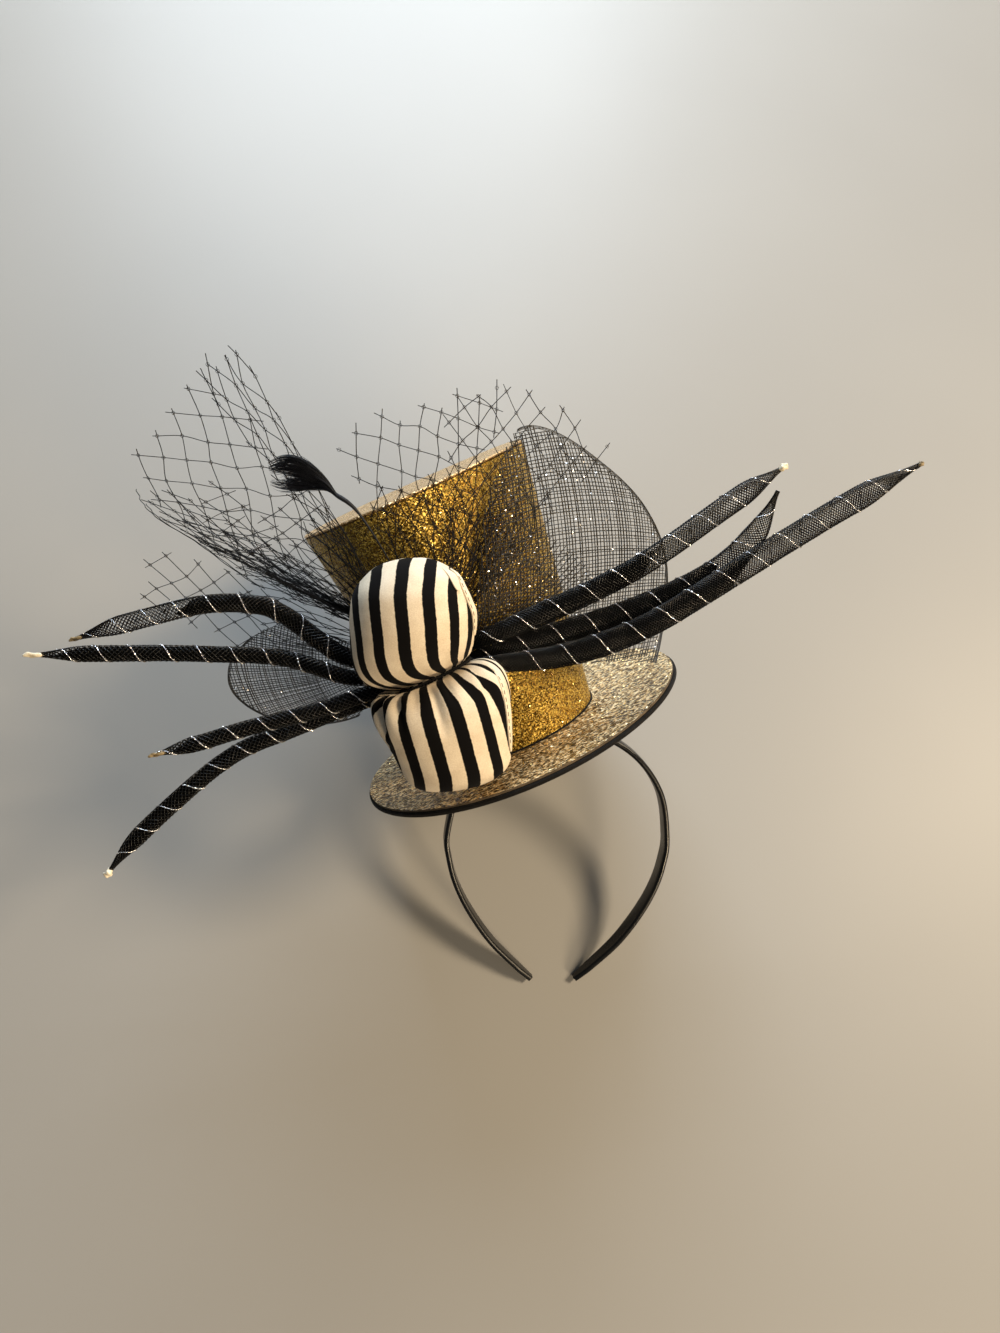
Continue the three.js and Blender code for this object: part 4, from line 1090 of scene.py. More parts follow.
# %% [markdown]
# ## Where the trimmings spread
# The straw fans and the veil start at the pad behind the bow, spread in front of the crown, and sweep back
# beyond its sides. Each is a table of its rim: an angle from up towards the left, how far it reaches, and how
# far its rim comes forward. `fan_points` gives the worn place for a share of the rim and a distance.

# %% Fans
SWEEP, FAN_START, RIM_INSET = 0.6, 6.0, 0.3
RIM_STEPS, REACH_STEPS, AREA_STEPS = 400, 200, (90, 60)
FANS = {  # a rim has rows of angle in degrees, reach and how far forward
    "net_left": {"root": (-56, 46), "front": 2.9, "folds": 3, "ripple": 5, "bulge": 0, "rim": [
        (31, 137, 0), (39, 138, 0), (47, 137, 0), (55, 137, 0), (61, 136, 0), (65, 131, 0), (67.2, 118, 0),
        (69, 98, 0), (74, 68, 0)]},
    "net_low": {"root": (-60, 42), "front": 4.3, "folds": 2, "ripple": 0, "bulge": 0, "rim": [
        (69, 102, 0), (74, 114, 0), (79, 119, 0), (85, 116, 0), (92, 90, 0), (97, 72, 0)]},
    "net_crown": {"root": (-42, 50), "front": 2.9, "folds": 3, "ripple": 0, "bulge": 0, "rim": [
        (-41, 109, 0), (-25, 108, 0), (-13, 107, 0), (4, 99, 0), (22, 96, 0), (33, 92, 0)]},
    "sinamay_right": {"root": (-30, 40), "front": 4.3, "folds": 1, "ripple": 0, "bulge": 7, "rim": [
        (-2, 62, 0), (-6, 88, 0), (-12, 102, 0), (-33, 103, 0), (-51, 105, 0), (-65, 103, 2), (-81, 92, 12),
        (-90.5, 86, 18.5)]},
    "sinamay_left": {"root": (-60, 36), "front": 5.7, "folds": 1, "ripple": 0, "bulge": 3, "rim": [
        (72, 44, 0), (79, 57, 0), (90, 70, 0), (100, 79, 0), (110, 80, 0), (123, 68, 0), (140, 45, 0),
        (150, 33, 0)]},
}


def trim_back(right, up, front):
    """How far back a place lies that stands in front of the crown and sweeps back beside it."""
    across = right * math.cos(HAT_TILT) + up * math.sin(HAT_TILT)
    radius = crown_radius(up * math.cos(HAT_TILT) - right * math.sin(HAT_TILT))
    return SWEEP * np.hypot(SWEEP * radius, across) - SWEEP ** 2 * radius - radius - front


def fan_points(fan, t, radius, lift=0.0):
    """Worn places on a fan, for a share of its rim and a distance from its root."""
    angle, reach, forward = np.moveaxis(smooth_rows(fan["rim"], t), -1, 0)
    s = (radius - FAN_START) / (reach - FAN_START)
    right = fan["root"][0] - radius * np.sin(np.radians(angle))
    up = fan["root"][1] + radius * np.cos(np.radians(angle))
    middle = np.sin(np.pi * t)
    fold = fan["ripple"] * s * middle * np.sin(2 * np.pi * fan["folds"] * t)
    bulge = fan["bulge"] * middle * np.sin(np.pi * np.clip(s, 0, 1))
    ahead = fan["front"] + lift + forward * s * s + fold + bulge
    return np.stack([right, trim_back(right, up, ahead), up], axis=-1)


def fan_reach(fan, t):
    return smooth_rows(fan["rim"], t)[..., 1]


def longest_reach(fan):
    return fan_reach(fan, np.linspace(0, 1, REACH_STEPS)).max()


def fan_place(fan, right, up, inset=RIM_INSET):
    """Share of the rim and distance from the root of places seen from the front, and which are on the fan."""
    t = np.linspace(0, 1, RIM_STEPS)
    turns = smooth_rows(fan["rim"], t)[:, 0]
    order = np.argsort(turns)
    angle = np.degrees(np.arctan2(fan["root"][0] - right, up - fan["root"][1]))
    share = np.interp(angle, turns[order], t[order])
    radius = np.hypot(right - fan["root"][0], up - fan["root"][1])
    on_fan = (angle >= turns.min()) & (angle <= turns.max()) & (radius >= FAN_START)
    return share, radius, on_fan & (radius <= fan_reach(fan, share) - inset)


def kept_runs(kept, shortest):
    """Where the unbroken runs of kept points start, and where they stop."""
    edges = np.flatnonzero(np.diff(np.concatenate([[0], kept.astype(int), [0]])))
    return [(a, b) for a, b in zip(edges[::2], edges[1::2]) if b - a >= shortest]


def fan_grid(fan, shares, reaches, lift=0.0):
    """A grid of places on the fan, for shares of the rim and of the way out to it."""
    t, s = np.meshgrid(shares, reaches, indexing="ij")
    return fan_points(fan, t, FAN_START + s * (fan_reach(fan, t) - FAN_START), lift)


def fan_area(fan):
    """The fan's own area in square metres, from a fine grid."""
    grid = fan_grid(fan, np.linspace(0, 1, AREA_STEPS[0]), np.linspace(0, 1, AREA_STEPS[1])) / 1000
    side, out = grid[1:, :-1] - grid[:-1, :-1], grid[:-1, 1:] - grid[:-1, :-1]
    return float(np.linalg.norm(np.cross(side, out), axis=-1).sum())


for name, fan in FANS.items():
    print(name, "area, square cm", round(fan_area(fan) * 10000, 1))

# %% [markdown]
# ## Straw weave
# Sinamay is an open plain weave of stiff straw threads. Handmade straw is never even, so every thread wanders
# a little and has its own thickness. The large fan is one flat piece of weave whose threads bend along with
# its rim, drawn together by gathers at the root. The small one is cut round: one set of threads runs round
# the root and the other runs out to the rim. The rims are folded over into a dark hem.

# %% Straw threads
STRAW_PITCH, STRAW_THICK, STRAW_WANDER, STRAW_STEP, STRAW_LIFT = 1.55, 0.44, 0.2, 2.6, 0.12
WEAVE_TURN, WEAVE_REACH, WEAVE_SHIFT = math.radians(7), 125.0, 0.18
WEAVE_BEND, BEND_MIDDLE, BEND_HALF = 0.13, 45, 50
ROUND_PITCH, ROUND_SHIFT, ROUND_FROM, ROUND_INSET, ROUND_SPREAD, ROUND_STEPS = 1.5, 0.2, 3, 0.4, 1.6, 240
GATHER_PITCH, GATHER_SHIFT, GATHER_ENDS = 1.4, 0.15, (0.62, 0.34, 0.5)
GATHER_STARTS = (None, 0.45, 0.26, 0.45)  # shares of the longest reach, or None for the root
STRAW_SIZES, FEWEST_POINTS, STRAW_HEM_STEPS = (0.75, 1.35), 4, 160
HEM_INSETS, HEM_SIZES, HEM_FROM = (0.3, 0.8, 1.3), (1.15, 0.9, 0.8), 0.24
straws = np.random.default_rng(11)


def slow_wander(count, size):
    """A slow random line: a few waves with random starts."""
    x = np.linspace(0, 1, count)
    waves = [straws.normal() * np.sin(2 * np.pi * (k * x + straws.random())) / k for k in (1, 2, 4, 7)]
    return size * np.sum(waves, axis=0) / 1.5


def flat_weave(fan, pitch):
    """Two sets of threads that cross square, bent along the rim and cut off at it."""
    paths = []
    along = np.arange(-WEAVE_REACH, WEAVE_REACH, STRAW_STEP)
    cosine, sine = math.cos(WEAVE_TURN), math.sin(WEAVE_TURN)
    bend = 1 - WEAVE_BEND * ((along - BEND_MIDDLE) / BEND_HALF) ** 2
    for upright in (True, False):
        for offset in np.arange(-WEAVE_REACH, WEAVE_REACH, pitch):
            across = offset * bend + straws.normal() * WEAVE_SHIFT + slow_wander(len(along), STRAW_WANDER)
            u, v = (across, along) if upright else (along, across)
            right, up = fan["root"][0] + u * cosine - v * sine, fan["root"][1] + u * sine + v * cosine
            share, radius, on_fan = fan_place(fan, right, up)
            lift = straws.normal() * STRAW_LIFT
            for first, last in kept_runs(on_fan, 3):
                paths.append(fan_points(fan, share[first:last], radius[first:last], lift))
    return paths


def round_weave(fan, pitch):
    """Threads round the root, at even distances."""
    paths = []
    for radius in np.arange(FAN_START + ROUND_FROM, longest_reach(fan), pitch):
        t = np.linspace(0, 1, ROUND_STEPS)
        inside = np.flatnonzero(radius < fan_reach(fan, t) - ROUND_INSET)
        if len(inside) < FEWEST_POINTS:
            continue
        start, end = t[inside[[0, -1]]]
        count = max(FEWEST_POINTS, int((end - start) * radius * ROUND_SPREAD / STRAW_STEP))
        distance = radius + straws.normal() * ROUND_SHIFT + slow_wander(count, STRAW_WANDER)
        paths.append(fan_points(fan, np.linspace(start, end, count), distance, straws.normal() * STRAW_LIFT))
    return paths


def gathers(fan, pitch, ends):
    """Threads that run out from the root, as far as a share of the rim's distance."""
    paths = []
    longest = longest_reach(fan)
    t_fine = np.linspace(0, 1, RIM_STEPS)
    turns = np.radians(smooth_rows(fan["rim"], t_fine)[:, 0])
    turns, order = np.sort(turns), np.argsort(turns)
    for number, stop in enumerate(np.arange(turns[0], turns[-1], pitch / longest)):
        t_rim = np.interp(stop, turns, t_fine[order])
        share = GATHER_STARTS[number % len(GATHER_STARTS)]
        start = share * longest if share else FAN_START + 1
        end = (fan_reach(fan, np.array(t_rim)) - RIM_INSET) * ends[number % len(ends)]
        if end - start < STRAW_STEP:
            continue
        count = max(FEWEST_POINTS, int((end - start) / STRAW_STEP))
        sway = slow_wander(count, STRAW_WANDER) + straws.normal() * GATHER_SHIFT
        sway /= longest * (turns[-1] - turns[0])
        paths.append(fan_points(fan, np.clip(t_rim + sway, 0, 1), np.linspace(start, end, count),
                                straws.normal() * STRAW_LIFT))
    return paths


def straw_hem(fan):
    """Lines along the rim, which make the folded hem."""
    t = np.linspace(HEM_FROM, 1, STRAW_HEM_STEPS)
    return [fan_points(fan, t, fan_reach(fan, t) - inset) for inset in HEM_INSETS]


print("straw helpers ready, pitch in mm", STRAW_PITCH)

# %% [markdown]
# Each fan's threads go through the thread tree as one piece. The hem is a few thicker lines along the rim.

# %% Straw fans
right_fan, left_fan = FANS["sinamay_right"], FANS["sinamay_left"]
STRAWS = {
    "sinamay_right": flat_weave(right_fan, STRAW_PITCH) + gathers(right_fan, GATHER_PITCH, GATHER_ENDS),
    "sinamay_left": round_weave(left_fan, ROUND_PITCH) + gathers(left_fan, ROUND_PITCH, (1.0,)),
}
for name, paths in STRAWS.items():
    thick = [np.full(len(path), straws.uniform(*STRAW_SIZES)) for path in paths]
    hem = straw_hem(FANS[name])
    thick += [np.full(len(line), size) for line, size in zip(hem, HEM_SIZES)]
    weave = thread_piece(f"{name}_weave", paths + hem, STRAW_THICK, straw_black, taper=thick)
    finish_piece(weave, "sinamay_straw", name)

# %% [markdown]
# ## Veil
# The veil is a diamond net: two sets of strands cross at slants and are knotted where they meet. Gathering
# it at the root squeezes the diamonds there, and at the rim they open to squares. Rows of knots stand at
# distances that keep every cell side the same length. A strand steps half a cell sideways from row to row.

# %% Strands of the veil
NET_SIDE, NET_THICK, KNOT_SIZE, KNOT_THIN, KNOT_FROM = 9.6, 0.36, 0.75, 0.6, 30
KNOT_PLACES, KNOT_TURNS = (0.0, 0.07, 0.18, 0.34, 0.5, 0.66, 0.82, 0.93), 7
KNOT_SHAKE, FLAT_SHAKE, LOOSE_END = 0.55, 0.6, (0.15, 0.5)
WIDEST_CELL, NET_STEPS = 0.92, 60
knots = np.random.default_rng(5)


def net_rows(width, longest):
    """Distances of the rows of knots from the root, for a net that is spread over an angle."""
    rows = [FAN_START + 2.0]
    while rows[-1] < longest + NET_SIDE:
        half = min(rows[-1] * width / 2, WIDEST_CELL * NET_SIDE)
        rows.append(rows[-1] + math.sqrt(NET_SIDE ** 2 - half ** 2))
    return np.array(rows)


def strand_line(stops):
    """A smooth strand through its knots, with points close together beside each knot."""
    place = np.concatenate([i + np.array(KNOT_PLACES) for i in range(len(stops) - 1)] + [[len(stops) - 1]])
    return smooth_rows(stops, place / (len(stops) - 1))


def net_layer(fan, cells, span, share, squeeze, lift, phase):
    """Strands and knots of one gathered layer, as worn paths."""
    angles = np.radians(fan["rim"][-1][0] - fan["rim"][0][0]) * (span[1] - span[0])
    longest = fan_reach(fan, np.linspace(*span, NET_STEPS)).max() * share
    rows = net_rows(abs(angles) / cells, longest) + phase * NET_SIDE
    columns = 2 * cells + 1
    shake = knots.normal(size=(len(rows), columns, 2)) * KNOT_SHAKE

    def knot(row, column):
        q = column / (2 * cells)
        t = span[0] + (span[1] - span[0]) * (q * (1 - squeeze) + squeeze * q * q)
        turn = shake[row, column, 0] / (rows[row] * abs(angles) / (span[1] - span[0]))
        return np.clip(t + turn, 0, 1), rows[row] + shake[row, column, 1]

    def kept(row, column):
        if not (0 <= column < columns and 0 <= row < len(rows)):
            return False
        t, radius = knot(row, column)
        return radius <= fan_reach(fan, np.array(t)) * share

    paths, loops, knotted = [], [], set()
    for step in (1, -1):
        for first in range(-len(rows), columns + len(rows)):
            if first % 2:
                continue
            run = []
            for row in range(len(rows)):
                column = first + step * row
                if kept(row, column):
                    run.append((row, column))
                elif run:
                    break
            if len(run) < 2:
                continue
            knotted.update(run)
            stops = np.array([knot(*place) for place in run])
            tail = stops[-1] + (stops[-1] - stops[-2]) * knots.uniform(*LOOSE_END)
            line = strand_line(np.vstack([stops, tail]))
            paths.append(fan_points(fan, np.clip(line[:, 0], 0, 1), line[:, 1], lift))
    for row in range(len(rows)):
        for column in range(row % 2, columns, 2):
            if (row, column) in knotted and rows[row] > KNOT_FROM:
                t, radius = knot(row, column)
                middle = fan_points(fan, np.array(t), radius, lift)
                turn = np.linspace(0, math.tau, KNOT_TURNS) + knots.random()
                loop = np.stack([np.cos(turn), 0 * turn, np.sin(turn)], -1) * KNOT_SIZE
                loops.append(middle + loop)
    return paths, loops


print("gathered layers ready, cell side in mm", NET_SIDE)

# %% [markdown]
# An open layer keeps an even lattice of knots, which is cut off at the rim. Strands that come near the root
# are drawn in to it, and the others end loose. The net's own edge runs along a part of the rim.

# %% Open layers of the veil
ROOT_STEPS, LATTICE_SPARE = (0.72, 0.44), 3
SELVAGE_STEPS, SELVAGE_WAVE, SELVAGE_WAVES = 80, 0.5, 9


def strand_end(root, before, last, beyond, nearest):
    """How a strand goes on from its last knot: drawn in to the root, or a loose end at the rim."""
    if np.hypot(*(beyond - root)) < nearest:
        away = last - root
        return root + away * np.array([*ROOT_STEPS, FAN_START / np.hypot(*away)])[:, None]
    return (last + (last - before) * knots.uniform(*LOOSE_END))[None]


def flat_net(fan, origin, sides, turns, lift, share, span, nearest):
    """A layer that lies open: a lattice of knots cut off at the rim, its strands drawn in to the root."""
    root = np.array(fan["root"], float)
    first, second = (side * np.array([math.sin(turn), math.cos(turn)])
                     for side, turn in zip(sides, np.radians(turns)))
    reach = int(fan_reach(fan, np.linspace(0, 1, NET_STEPS)).max() * LATTICE_SPARE / min(sides))
    numbers = np.arange(-reach, reach + 1)
    grid = (np.array(origin) + numbers[:, None, None] * first + numbers[None, :, None] * second
            + knots.normal(size=(len(numbers), len(numbers), 2)) * FLAT_SHAKE)
    t, radius, on_fan = fan_place(fan, grid[..., 0], grid[..., 1], 0.0)
    kept = on_fan & (radius > nearest) & (radius <= fan_reach(fan, t) * share)
    kept &= (t >= span[0]) & (t <= span[1])
    knotted = np.zeros_like(kept)
    lines = [(grid[i], kept[i], knotted[i]) for i in range(len(grid))]
    lines += [(grid[:, j], kept[:, j], knotted[:, j]) for j in range(len(grid))]
    paths, loops = [], []
    for stops, keep, tied in lines:
        for a, b in kept_runs(keep, 2):
            tied[a:b] = True
            start = strand_end(root, stops[a + 1], stops[a], stops[a - 1], nearest)
            end = strand_end(root, stops[b - 2], stops[b - 1], stops[b], nearest)
            line = strand_line(np.vstack([start[::-1], stops[a:b], end]))
            t, radius, _ = fan_place(fan, line[:, 0], line[:, 1])
            paths.append(fan_points(fan, t, radius, lift))
    for middle in grid[knotted]:
        turn = np.linspace(0, math.tau, KNOT_TURNS) + knots.random()
        ring = middle + np.stack([np.cos(turn), np.sin(turn)], -1) * KNOT_SIZE
        t, radius, _ = fan_place(fan, ring[:, 0], ring[:, 1])
        loops.append(fan_points(fan, t, radius, lift))
    return paths, loops


def selvage(fan, first, last, inset, lift):
    """The net's own edge, along a part of the rim."""
    t = np.linspace(first, last, SELVAGE_STEPS)
    wave = SELVAGE_WAVE * np.sin(np.linspace(0, SELVAGE_WAVES * math.tau, SELVAGE_STEPS))
    return fan_points(fan, t, fan_reach(fan, t) - inset + wave, lift)


print("open layers ready, drawn in to the root at", ROOT_STEPS)

# %% [markdown]
# A lobe of the veil is folded, so several layers lie over each other. Gathered layers fill it near the root.
# Flat layers lie open at the rim, where their lattice is turned as in the photograph.

# %% Veil
LAYERS = {  # cells, span of the rim, share of the reach, squeeze, lift, phase
    "net_left": [(4, (0.0, 0.14), 1.0, 0.0, 0.0, 0.0), (7, (0.35, 1.0), 0.66, 0.0, -1.2, 0.4),
                 (7, (0.58, 1.0), 0.97, 0.0, -0.9, 0.15), (6, (0.45, 0.95), 0.86, 0.0, 0.6, 0.55),
                 (10, (0.0, 1.0), 0.5, 0.2, 1.2, 0.7)],
    "net_low": [(4, (0.0, 1.0), 0.6, 0.0, 1.0, 0.5)],
    # The second crown layer is net, and it also stands as painted shade: it darkens the crown's right side.
    "net_crown": [(11, (0.0, 1.0), 0.62, 0.0, -0.6, 0.2), (12, (0.0, 0.6), 0.56, 0.0, 0.6, 0.6)],
}
FLAT_LAYERS = {  # one knot, cell sides, directions in degrees from up, lift, share, span, nearest
    "net_left": [((-162.1, 127.2), (9.7, 10.5), (-14, 93), 0.4, 1.0, (0.08, 1.0), 52.0),
                 ((-150.0, 92.0), (8.4, 10.0), (-36, 84), -0.6, 0.90, (0.50, 1.0), 36.0),
                 ((-130.0, 84.0), (7.4, 9.0), (-58, 62), 1.0, 0.76, (0.32, 1.0), 30.0),
                 ((-90.0, 84.0), (8.6, 8.6), (52, -52), 0.8, 0.58, (0.0, 1.0), 24.0)],
    "net_low": [((-176.7, 65.5), (8.0, 10.2), (57, 133), 0.0, 1.0, (0.0, 1.0), 46.0)],
    "net_crown": [((-86.3, 125.1), (9.0, 8.0), (0, 105), 0.0, 1.0, (0.42, 1.0), 34.0),
                  ((-42.0, 98.0), (8.6, 8.6), (38, -40), 0.9, 1.0, (0.0, 0.60), 24.0),
                  ((-42.0, 90.0), (7.6, 7.6), (30, -30), 0.4, 0.70, (0.0, 1.0), 24.0)],
}
SELVAGES = {"net_left": [(0.60, 1.0, 0.6, 0.3), (0.66, 1.0, 3.2, 0.8)], "net_low": [], "net_crown": []}
for name, layers in LAYERS.items():
    strands, loops = [selvage(FANS[name], *edge) for edge in SELVAGES[name]], []
    for cells, span, share, squeeze, lift, phase in layers:
        more = net_layer(FANS[name], cells, span, share, squeeze, lift, phase)
        strands, loops = strands + more[0], loops + more[1]
    for layer in FLAT_LAYERS[name]:
        more = flat_net(FANS[name], *layer)
        strands, loops = strands + more[0], loops + more[1]
    thin = [np.ones(len(path)) for path in strands] + [np.full(len(path), KNOT_THIN) for path in loops]
    veil = thread_piece(f"{name}_veil", strands + loops, NET_THICK, net_black, taper=thin)
    finish_piece(veil, "veil_net", name)
    print(name, len(strands), "strands and", len(loops), "knots")

# %% [markdown]
# ## Feather
# A short plume on a bare stem. All its barbs flow from the stem's end towards the tip, between an upper and
# a lower edge line, and the upper ones curl over. Each barb is a tapered thread that covers a part of the
# way, so the plume has a dense middle and a wispy end. A shallow notch parts the upper barbs from the lower.

# %% Feather stem
STEM = np.array([  # right, up, front
    (-49, 46, 3), (-53, 56, 3.3), (-60.5, 74, 4.4), (-77.5, 99.8, 4.4), (-87.7, 107.6, 4.4), (-95, 112.4, 5)])
STEM_THICK, STEM_POINTS = 1.2, 60
STEM_PLACES, STEM_SIZES = (0, 0.5, 0.74, 0.86, 1), (0.45, 0.5, 0.9, 1.7, 0.6)
stem_rows = np.column_stack([STEM[:, 0], trim_back(STEM[:, 0], STEM[:, 1], STEM[:, 2]), STEM[:, 1]])
stem_path, _, stem_length = even_path(stem_rows, STEM_POINTS)
stem_taper = np.interp(np.linspace(0, 1, STEM_POINTS), STEM_PLACES, STEM_SIZES)
quill = thread_piece("feather_stem", [stem_path], STEM_THICK, feather_black, sides=8, taper=[stem_taper])
finish_piece(quill, "black_feather", "feather_quill")
print("feather stem, mm", round(stem_length, 1))

# %% [markdown]
# The plume's edges are two short tables, seen from the front. A barb keeps its height between them as it
# flows, apart from a little chance.

# %% Feather plume
PLUME_TOP = np.array([
    (-86.5, 106.8), (-90.2, 112.4), (-94.0, 116.4), (-98.5, 119.8), (-103.5, 121.8), (-108.8, 121.4),
    (-114.4, 118.4)])
PLUME_LOW = np.array([
    (-86.5, 106.4), (-91.5, 108.8), (-96.5, 108.6), (-101.5, 107.9), (-106.0, 107.2), (-110.0, 107.4),
    (-113.6, 109.0)])
PLUME_FRONT, PLUME_CURL = 4.4, 4.0
BARBS, BARB_THICK, BARB_STEPS, BARB_SHARE, BARB_SHORTEST = 620, 0.36, 10, (0.3, 0.6), 0.15
BARB_HEIGHTS, HEIGHT_LIMITS, BARB_DRIFT = (1.3, 1.0), (-0.06, 1.08), 0.05
LAST_START, START_LEAN, FRAY, TIP_THIN = 0.62, 1.2, (0.3, 0.6), 0.8
NOTCH_AT, NOTCH_WIDTH, NOTCH_DEPTH = 0.40, 0.12, 0.26
barbs = np.random.default_rng(3)
barb_paths, barb_taper = [], []
step = np.linspace(0, 1, BARB_STEPS)
for number in range(BARBS):
    height = np.clip(barbs.beta(*BARB_HEIGHTS) + BARB_DRIFT * barbs.normal() * step, *HEIGHT_LIMITS)
    start = LAST_START * barbs.random() ** START_LEAN
    end = min(start + barbs.uniform(*BARB_SHARE), 1.0 + BARB_DRIFT * barbs.normal())
    end *= 1 - NOTCH_DEPTH * math.exp(-((height[0] - NOTCH_AT) / NOTCH_WIDTH) ** 2)
    flow = np.linspace(start, max(end, start + BARB_SHORTEST), BARB_STEPS)
    top, low = smooth_rows(PLUME_TOP, flow), smooth_rows(PLUME_LOW, flow)
    flat = low + (top - low) * height[:, None]
    front = PLUME_FRONT + PLUME_CURL * flow ** 2 + barbs.normal() * (FRAY[0] + FRAY[1] * step)
    barb_paths.append(np.column_stack([flat[:, 0], trim_back(flat[:, 0], flat[:, 1], front), flat[:, 1]]))
    barb_taper.append(1.0 - TIP_THIN * step ** 1.5)
plume = thread_piece("feather_plume", barb_paths, BARB_THICK, feather_black, sides=3, taper=barb_taper)
finish_piece(plume, "black_feather", "feather_vane")
plume_length = even_path(np.column_stack([PLUME_TOP, np.zeros(len(PLUME_TOP))]), STEM_POINTS)[2]
print("plume, mm", round(float(plume_length), 1))

# %% [markdown]
# ## Loose flakes and fuzz
# Some glitter stands proud of its cloth, silver dust clings to the mesh and the straw, and the felt's cut
# edge is hairy. One tree does it all: it scatters points on a surface and puts a tiny cone on each, which is
# flat and wide for a flake and long and thin for a hair.

# %% Scatter tree
scatter_tree, cone_in, cone_out = new_group(
    "scattered_cones", "GeometryNodeTree",
    [("Geometry", GEOMETRY), ("Density", FLOAT, 1e5), ("Seed", INTEGER, 1), ("Width", FLOAT, 0.0003),
     ("Height", FLOAT, 0.0001), ("Sides", INTEGER, 6), ("Tilt", FLOAT, 0.6), ("Smallest", FLOAT, 0.6),
     ("Material", MATERIAL)], [("Geometry", GEOMETRY)])
spots = add(scatter_tree, "GeometryNodeDistributePointsOnFaces",
            {"Mesh": cone_in["Geometry"], "Density": cone_in["Density"], "Seed": cone_in["Seed"]}).outputs
cone = add(scatter_tree, "GeometryNodeMeshCone", {
    "Vertices": cone_in["Sides"], "Radius Top": 0.0, "Radius Bottom": cone_in["Width"],
    "Depth": cone_in["Height"]})
lowest = math_node(scatter_tree, "MULTIPLY", cone_in["Tilt"], -1.0)
tilt_low = add(scatter_tree, "ShaderNodeCombineXYZ", {"X": lowest, "Y": lowest, "Z": 0.0}).outputs[0]
tilt_high = add(scatter_tree, "ShaderNodeCombineXYZ",
                {"X": cone_in["Tilt"], "Y": cone_in["Tilt"], "Z": math.tau}).outputs[0]
lean_of_cone = add(scatter_tree, "FunctionNodeRandomValue",
                   {"Min": tilt_low, "Max": tilt_high, "Seed": cone_in["Seed"]}, data_type="FLOAT_VECTOR")
lean_turn = add(scatter_tree, "FunctionNodeEulerToRotation", {"Euler": lean_of_cone.outputs["Value"]})
turned_cone = add(scatter_tree, "FunctionNodeRotateRotation",
                  {"Rotation": spots["Rotation"], "Rotate By": lean_turn.outputs[0]}, rotation_space="LOCAL")
sizes = add(scatter_tree, "FunctionNodeRandomValue",
            {2: cone_in["Smallest"], 3: 1.0, "Seed": cone_in["Seed"]}, data_type="FLOAT")
dots = add(scatter_tree, "GeometryNodeInstanceOnPoints", {
    "Points": spots["Points"], "Instance": cone.outputs["Mesh"], "Rotation": turned_cone.outputs[0],
    "Scale": sizes.outputs[1]})
plain = add(scatter_tree, "GeometryNodeRealizeInstances", {"Geometry": dots.outputs[0]})
painted = add(scatter_tree, "GeometryNodeSetMaterial",
              {"Geometry": plain.outputs[0], "Material": cone_in["Material"]})
scatter_tree.links.new(painted.outputs[0], cone_out["Geometry"])


def scatter_on(name, points, faces, material, slot, **values):
    """Scatters cones on a plain surface that is given in frame metres."""
    mesh = bpy.data.meshes.new(name + "_ground")
    mesh.from_pydata(np.asarray(points, float).tolist(), [], faces)
    piece = run_tree(bpy.data.objects.new(name + "_ground", mesh), scatter_tree, name, material, **values)
    for vertex in piece.data.vertices:
        vertex.co.z = max(vertex.co.z, 0.0)
    return finish_piece(piece, slot)


print("scatter tree", len(scatter_tree.nodes), "nodes")

# %% [markdown]
# Flakes and dust are bare metal whose tone changes from place to place. The ground of each scatter is a thin
# copy of the surface, just proud of it. The hairs take the felt's own finish.

# %% Glitter and fuzz of the hat
FLAKE_PROUD, FLAKE_MARGIN, WALL_ROWS, BRIM_ROWS, FUZZ_IN = 0.02, 0.6, 12, 10, 0.2


def flake_finish(name, roughness, dark, bright):
    """Bare metal with two tones."""
    material, tree, shader = new_material(name, Metallic=1.0, Roughness=roughness)
    tint = ramp(tree, noise(tree, place_of(tree), 900.0), [(0.35, dark), (0.65, bright)])
    tree.links.new(tint, shader.inputs["Base Color"])
    return material


flake_gold = flake_finish("flake_gold", 0.2, (0.75, 0.48, 0.12), (1.0, 0.82, 0.42))
wall_heights = np.linspace(1, wall_top - 1, WALL_ROWS)
outer_wall = turned_points([(crown_radius(h) + FLAKE_PROUD, h) for h in wall_heights])
scatter_on("crown_flakes", lay_hat(outer_wall), skin_faces(TURNS, WALL_ROWS, True), flake_gold,
           "gold_glitter", Density=2.2e5, Seed=2, Width=0.00034, Height=0.0001, Tilt=0.5)
brim_radii = np.linspace(COVER_RADIUS - FLAKE_MARGIN, CROWN_BASE_RADIUS + FLAKE_MARGIN, BRIM_ROWS)
brim_top = turned_points([(r, FLAKE_PROUD) for r in brim_radii])
scatter_on("brim_flakes", brim_bend(brim_top), skin_faces(TURNS, BRIM_ROWS, True), flake_gold,
           "gold_glitter", Density=1.3e5, Seed=3, Width=0.00034, Height=0.00011, Tilt=0.55)
felt_rim = [(BRIM_RADIUS - FUZZ_IN, felt_low + FUZZ_IN), (BRIM_RADIUS, felt_low + ROUND),
            (BRIM_RADIUS, felt_top - ROUND)]
scatter_on("felt_fuzz", brim_bend(turned_points(felt_rim)), skin_faces(TURNS, len(felt_rim), True),
           black_felt, "black_felt", Density=3.5e6, Seed=4, Width=0.00007, Height=0.0011, Sides=3,
           Tilt=1.0, Smallest=0.35)

# %% [markdown]
# Dust lies all over the straw, and finer glints lie where the large fan is gathered. On the tubes the dust
# clings to the silver thread.

# %% Silver dust
DUST_GRID = (60, 30)
dust_silver = flake_finish("dust_silver", 0.26, (0.75, 0.72, 0.70), (1.0, 0.98, 0.95))


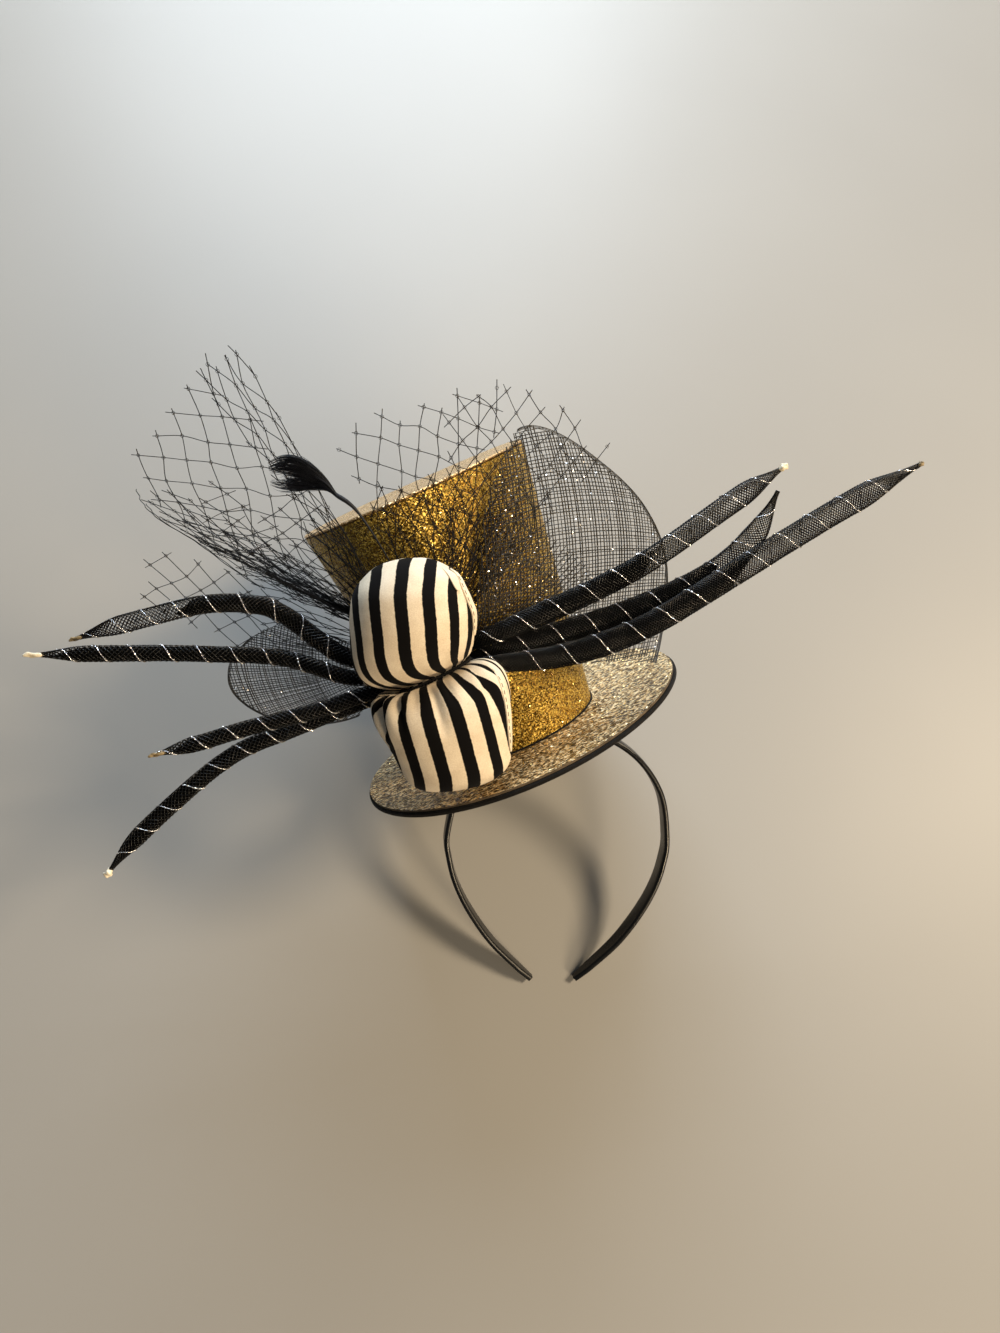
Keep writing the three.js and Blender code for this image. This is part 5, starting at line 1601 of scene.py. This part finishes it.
def dust_fan(name, fan, shares, reaches, lift, **values):
    """Scatters silver dust over a part of a fan, a little in front of its threads."""
    along, out = np.linspace(*shares, DUST_GRID[0]), np.linspace(*reaches, DUST_GRID[1])
    ground = fan_grid(FANS[fan], along, out, lift)
    scatter_on(name, lay_down(ground.reshape(-1, 3)), skin_faces(*DUST_GRID), dust_silver, "sinamay_straw",
               **values)


for fan in ("sinamay_right", "sinamay_left"):
    dust_fan(f"{fan}_dust", fan, (0.05, 1), (0.1, 0.97), 0.25,
             Density=9.0e4, Seed=6, Width=0.00036, Height=0.00014, Tilt=0.9)
dust_fan("sinamay_right_glints", "sinamay_right", (0.3, 1), (0.16, 0.55), 0.6,
         Density=3.2e5, Seed=8, Width=0.0002, Height=0.0001, Tilt=1.0, Smallest=0.4)
for letter in TUBES:
    thread = bpy.data.objects[f"crin_{letter}_silver"].data
    scatter_on(f"crin_{letter}_dust", [vertex.co for vertex in thread.vertices],
               [tuple(face.vertices) for face in thread.polygons], dust_silver, "crin_mesh",
               Density=6.5e5, Seed=7, Width=0.00044, Height=0.00030, Tilt=0.9)

# %% [markdown]
# The crown is sewn to the brim. The seam is a dark, slightly uneven line round the crown's foot, and it also
# stands as painted shade in the joint between crown and brim.

# %% Seam and painted shade at the crown's foot
SEAM_THICK, SEAM_OUT, SEAM_POINTS = 0.9, 0.35, 361
angle = np.linspace(0, 2 * math.pi, SEAM_POINTS)
radius = CROWN_BASE_RADIUS + SEAM_OUT + 0.12 * np.sin(17 * angle) + 0.1 * np.sin(41 * angle + 1)
seam = on_hat(np.column_stack([radius * np.cos(angle), radius * np.sin(angle), SEAM_OUT + 0 * angle]))
# A dark thread: the seam, drawn dark enough to stand also as painted shade in the joint.
finish_piece(thread_piece("crown_foot_seam_and_shade", [seam], SEAM_THICK, cord_black, sides=6), "black_cord")

for side in ("right", "left"):
    weave, area = bpy.data.objects[f"sinamay_{side}_weave"], fan_area(FANS[f"sinamay_{side}"])
    print(weave.name, "flat area, square cm", round(area * 10000, 1))

# %% [markdown]
# The pad behind the bow is plain felt and hardly shows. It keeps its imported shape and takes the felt's
# finish.

# %% Pad
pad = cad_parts["trim_base"]
pad.data.materials.clear()
pad.data.materials.append(black_felt)
print("pad", pad.name)

# %% [markdown]
# ## Table and light
# The photograph has warm light from the right and a cool glow from the far side. A warm area
# light, a weaker one nearer to the viewer and a cool one give the same on a plain pale table.

# %% Table and light
TABLE_HALF, TABLE_LOW = 3.0, -0.0002
table_finish, tree, shader = new_material("table_finish", Roughness=0.45, Specular_IOR_Level=0.35)
cloud = noise(tree, place_of(tree), 3.0, 3.0)
tone = ramp(tree, cloud, [(0.3, (0.29, 0.283, 0.268)), (0.7, (0.315, 0.308, 0.292))])
tree.links.new(tone, shader.inputs["Base Color"])
corners = [(x * TABLE_HALF, y * TABLE_HALF, TABLE_LOW) for x, y in ((-1, -1), (1, -1), (1, 1), (-1, 1))]
make_piece("table_top", corners, [(0, 1, 2, 3)], [table_finish])

LIGHTS = {  # place, size in metres, watts, colour
    "window": ((-0.08, 0.98, 0.60), 0.7, 18.0, (0.76, 0.88, 1.0)),
    "warm_lamp": ((1.68, 0.40, 1.90), 0.60, 64.0, (1.0, 0.80, 0.55)),
    "front_fill": ((0.90, -1.20, 0.90), 0.4, 17.0, (1.0, 0.78, 0.50)),
}
AIM = Vector((-0.02, 0.01, 0.09))
ROOM_COLOUR, ROOM_STRENGTH = (0.80, 0.86, 0.92, 1), 0.12
for name, (place, size, watts, colour) in LIGHTS.items():
    lamp = bpy.data.objects.new(name, bpy.data.lights.new(name, "AREA"))
    lamp.data.energy = watts
    lamp.data.size = size
    lamp.data.color = colour
    lamp.location = place
    lamp.rotation_euler = (AIM - Vector(place)).to_track_quat("-Z", "Y").to_euler()
    scene.collection.objects.link(lamp)
world = bpy.data.worlds.new("room")
world.use_nodes = True
world.node_tree.nodes["Background"].inputs["Color"].default_value = ROOM_COLOUR
world.node_tree.nodes["Background"].inputs["Strength"].default_value = ROOM_STRENGTH
scene.world = world
scene.view_settings.view_transform = "Standard"
print("lights", len(LIGHTS))
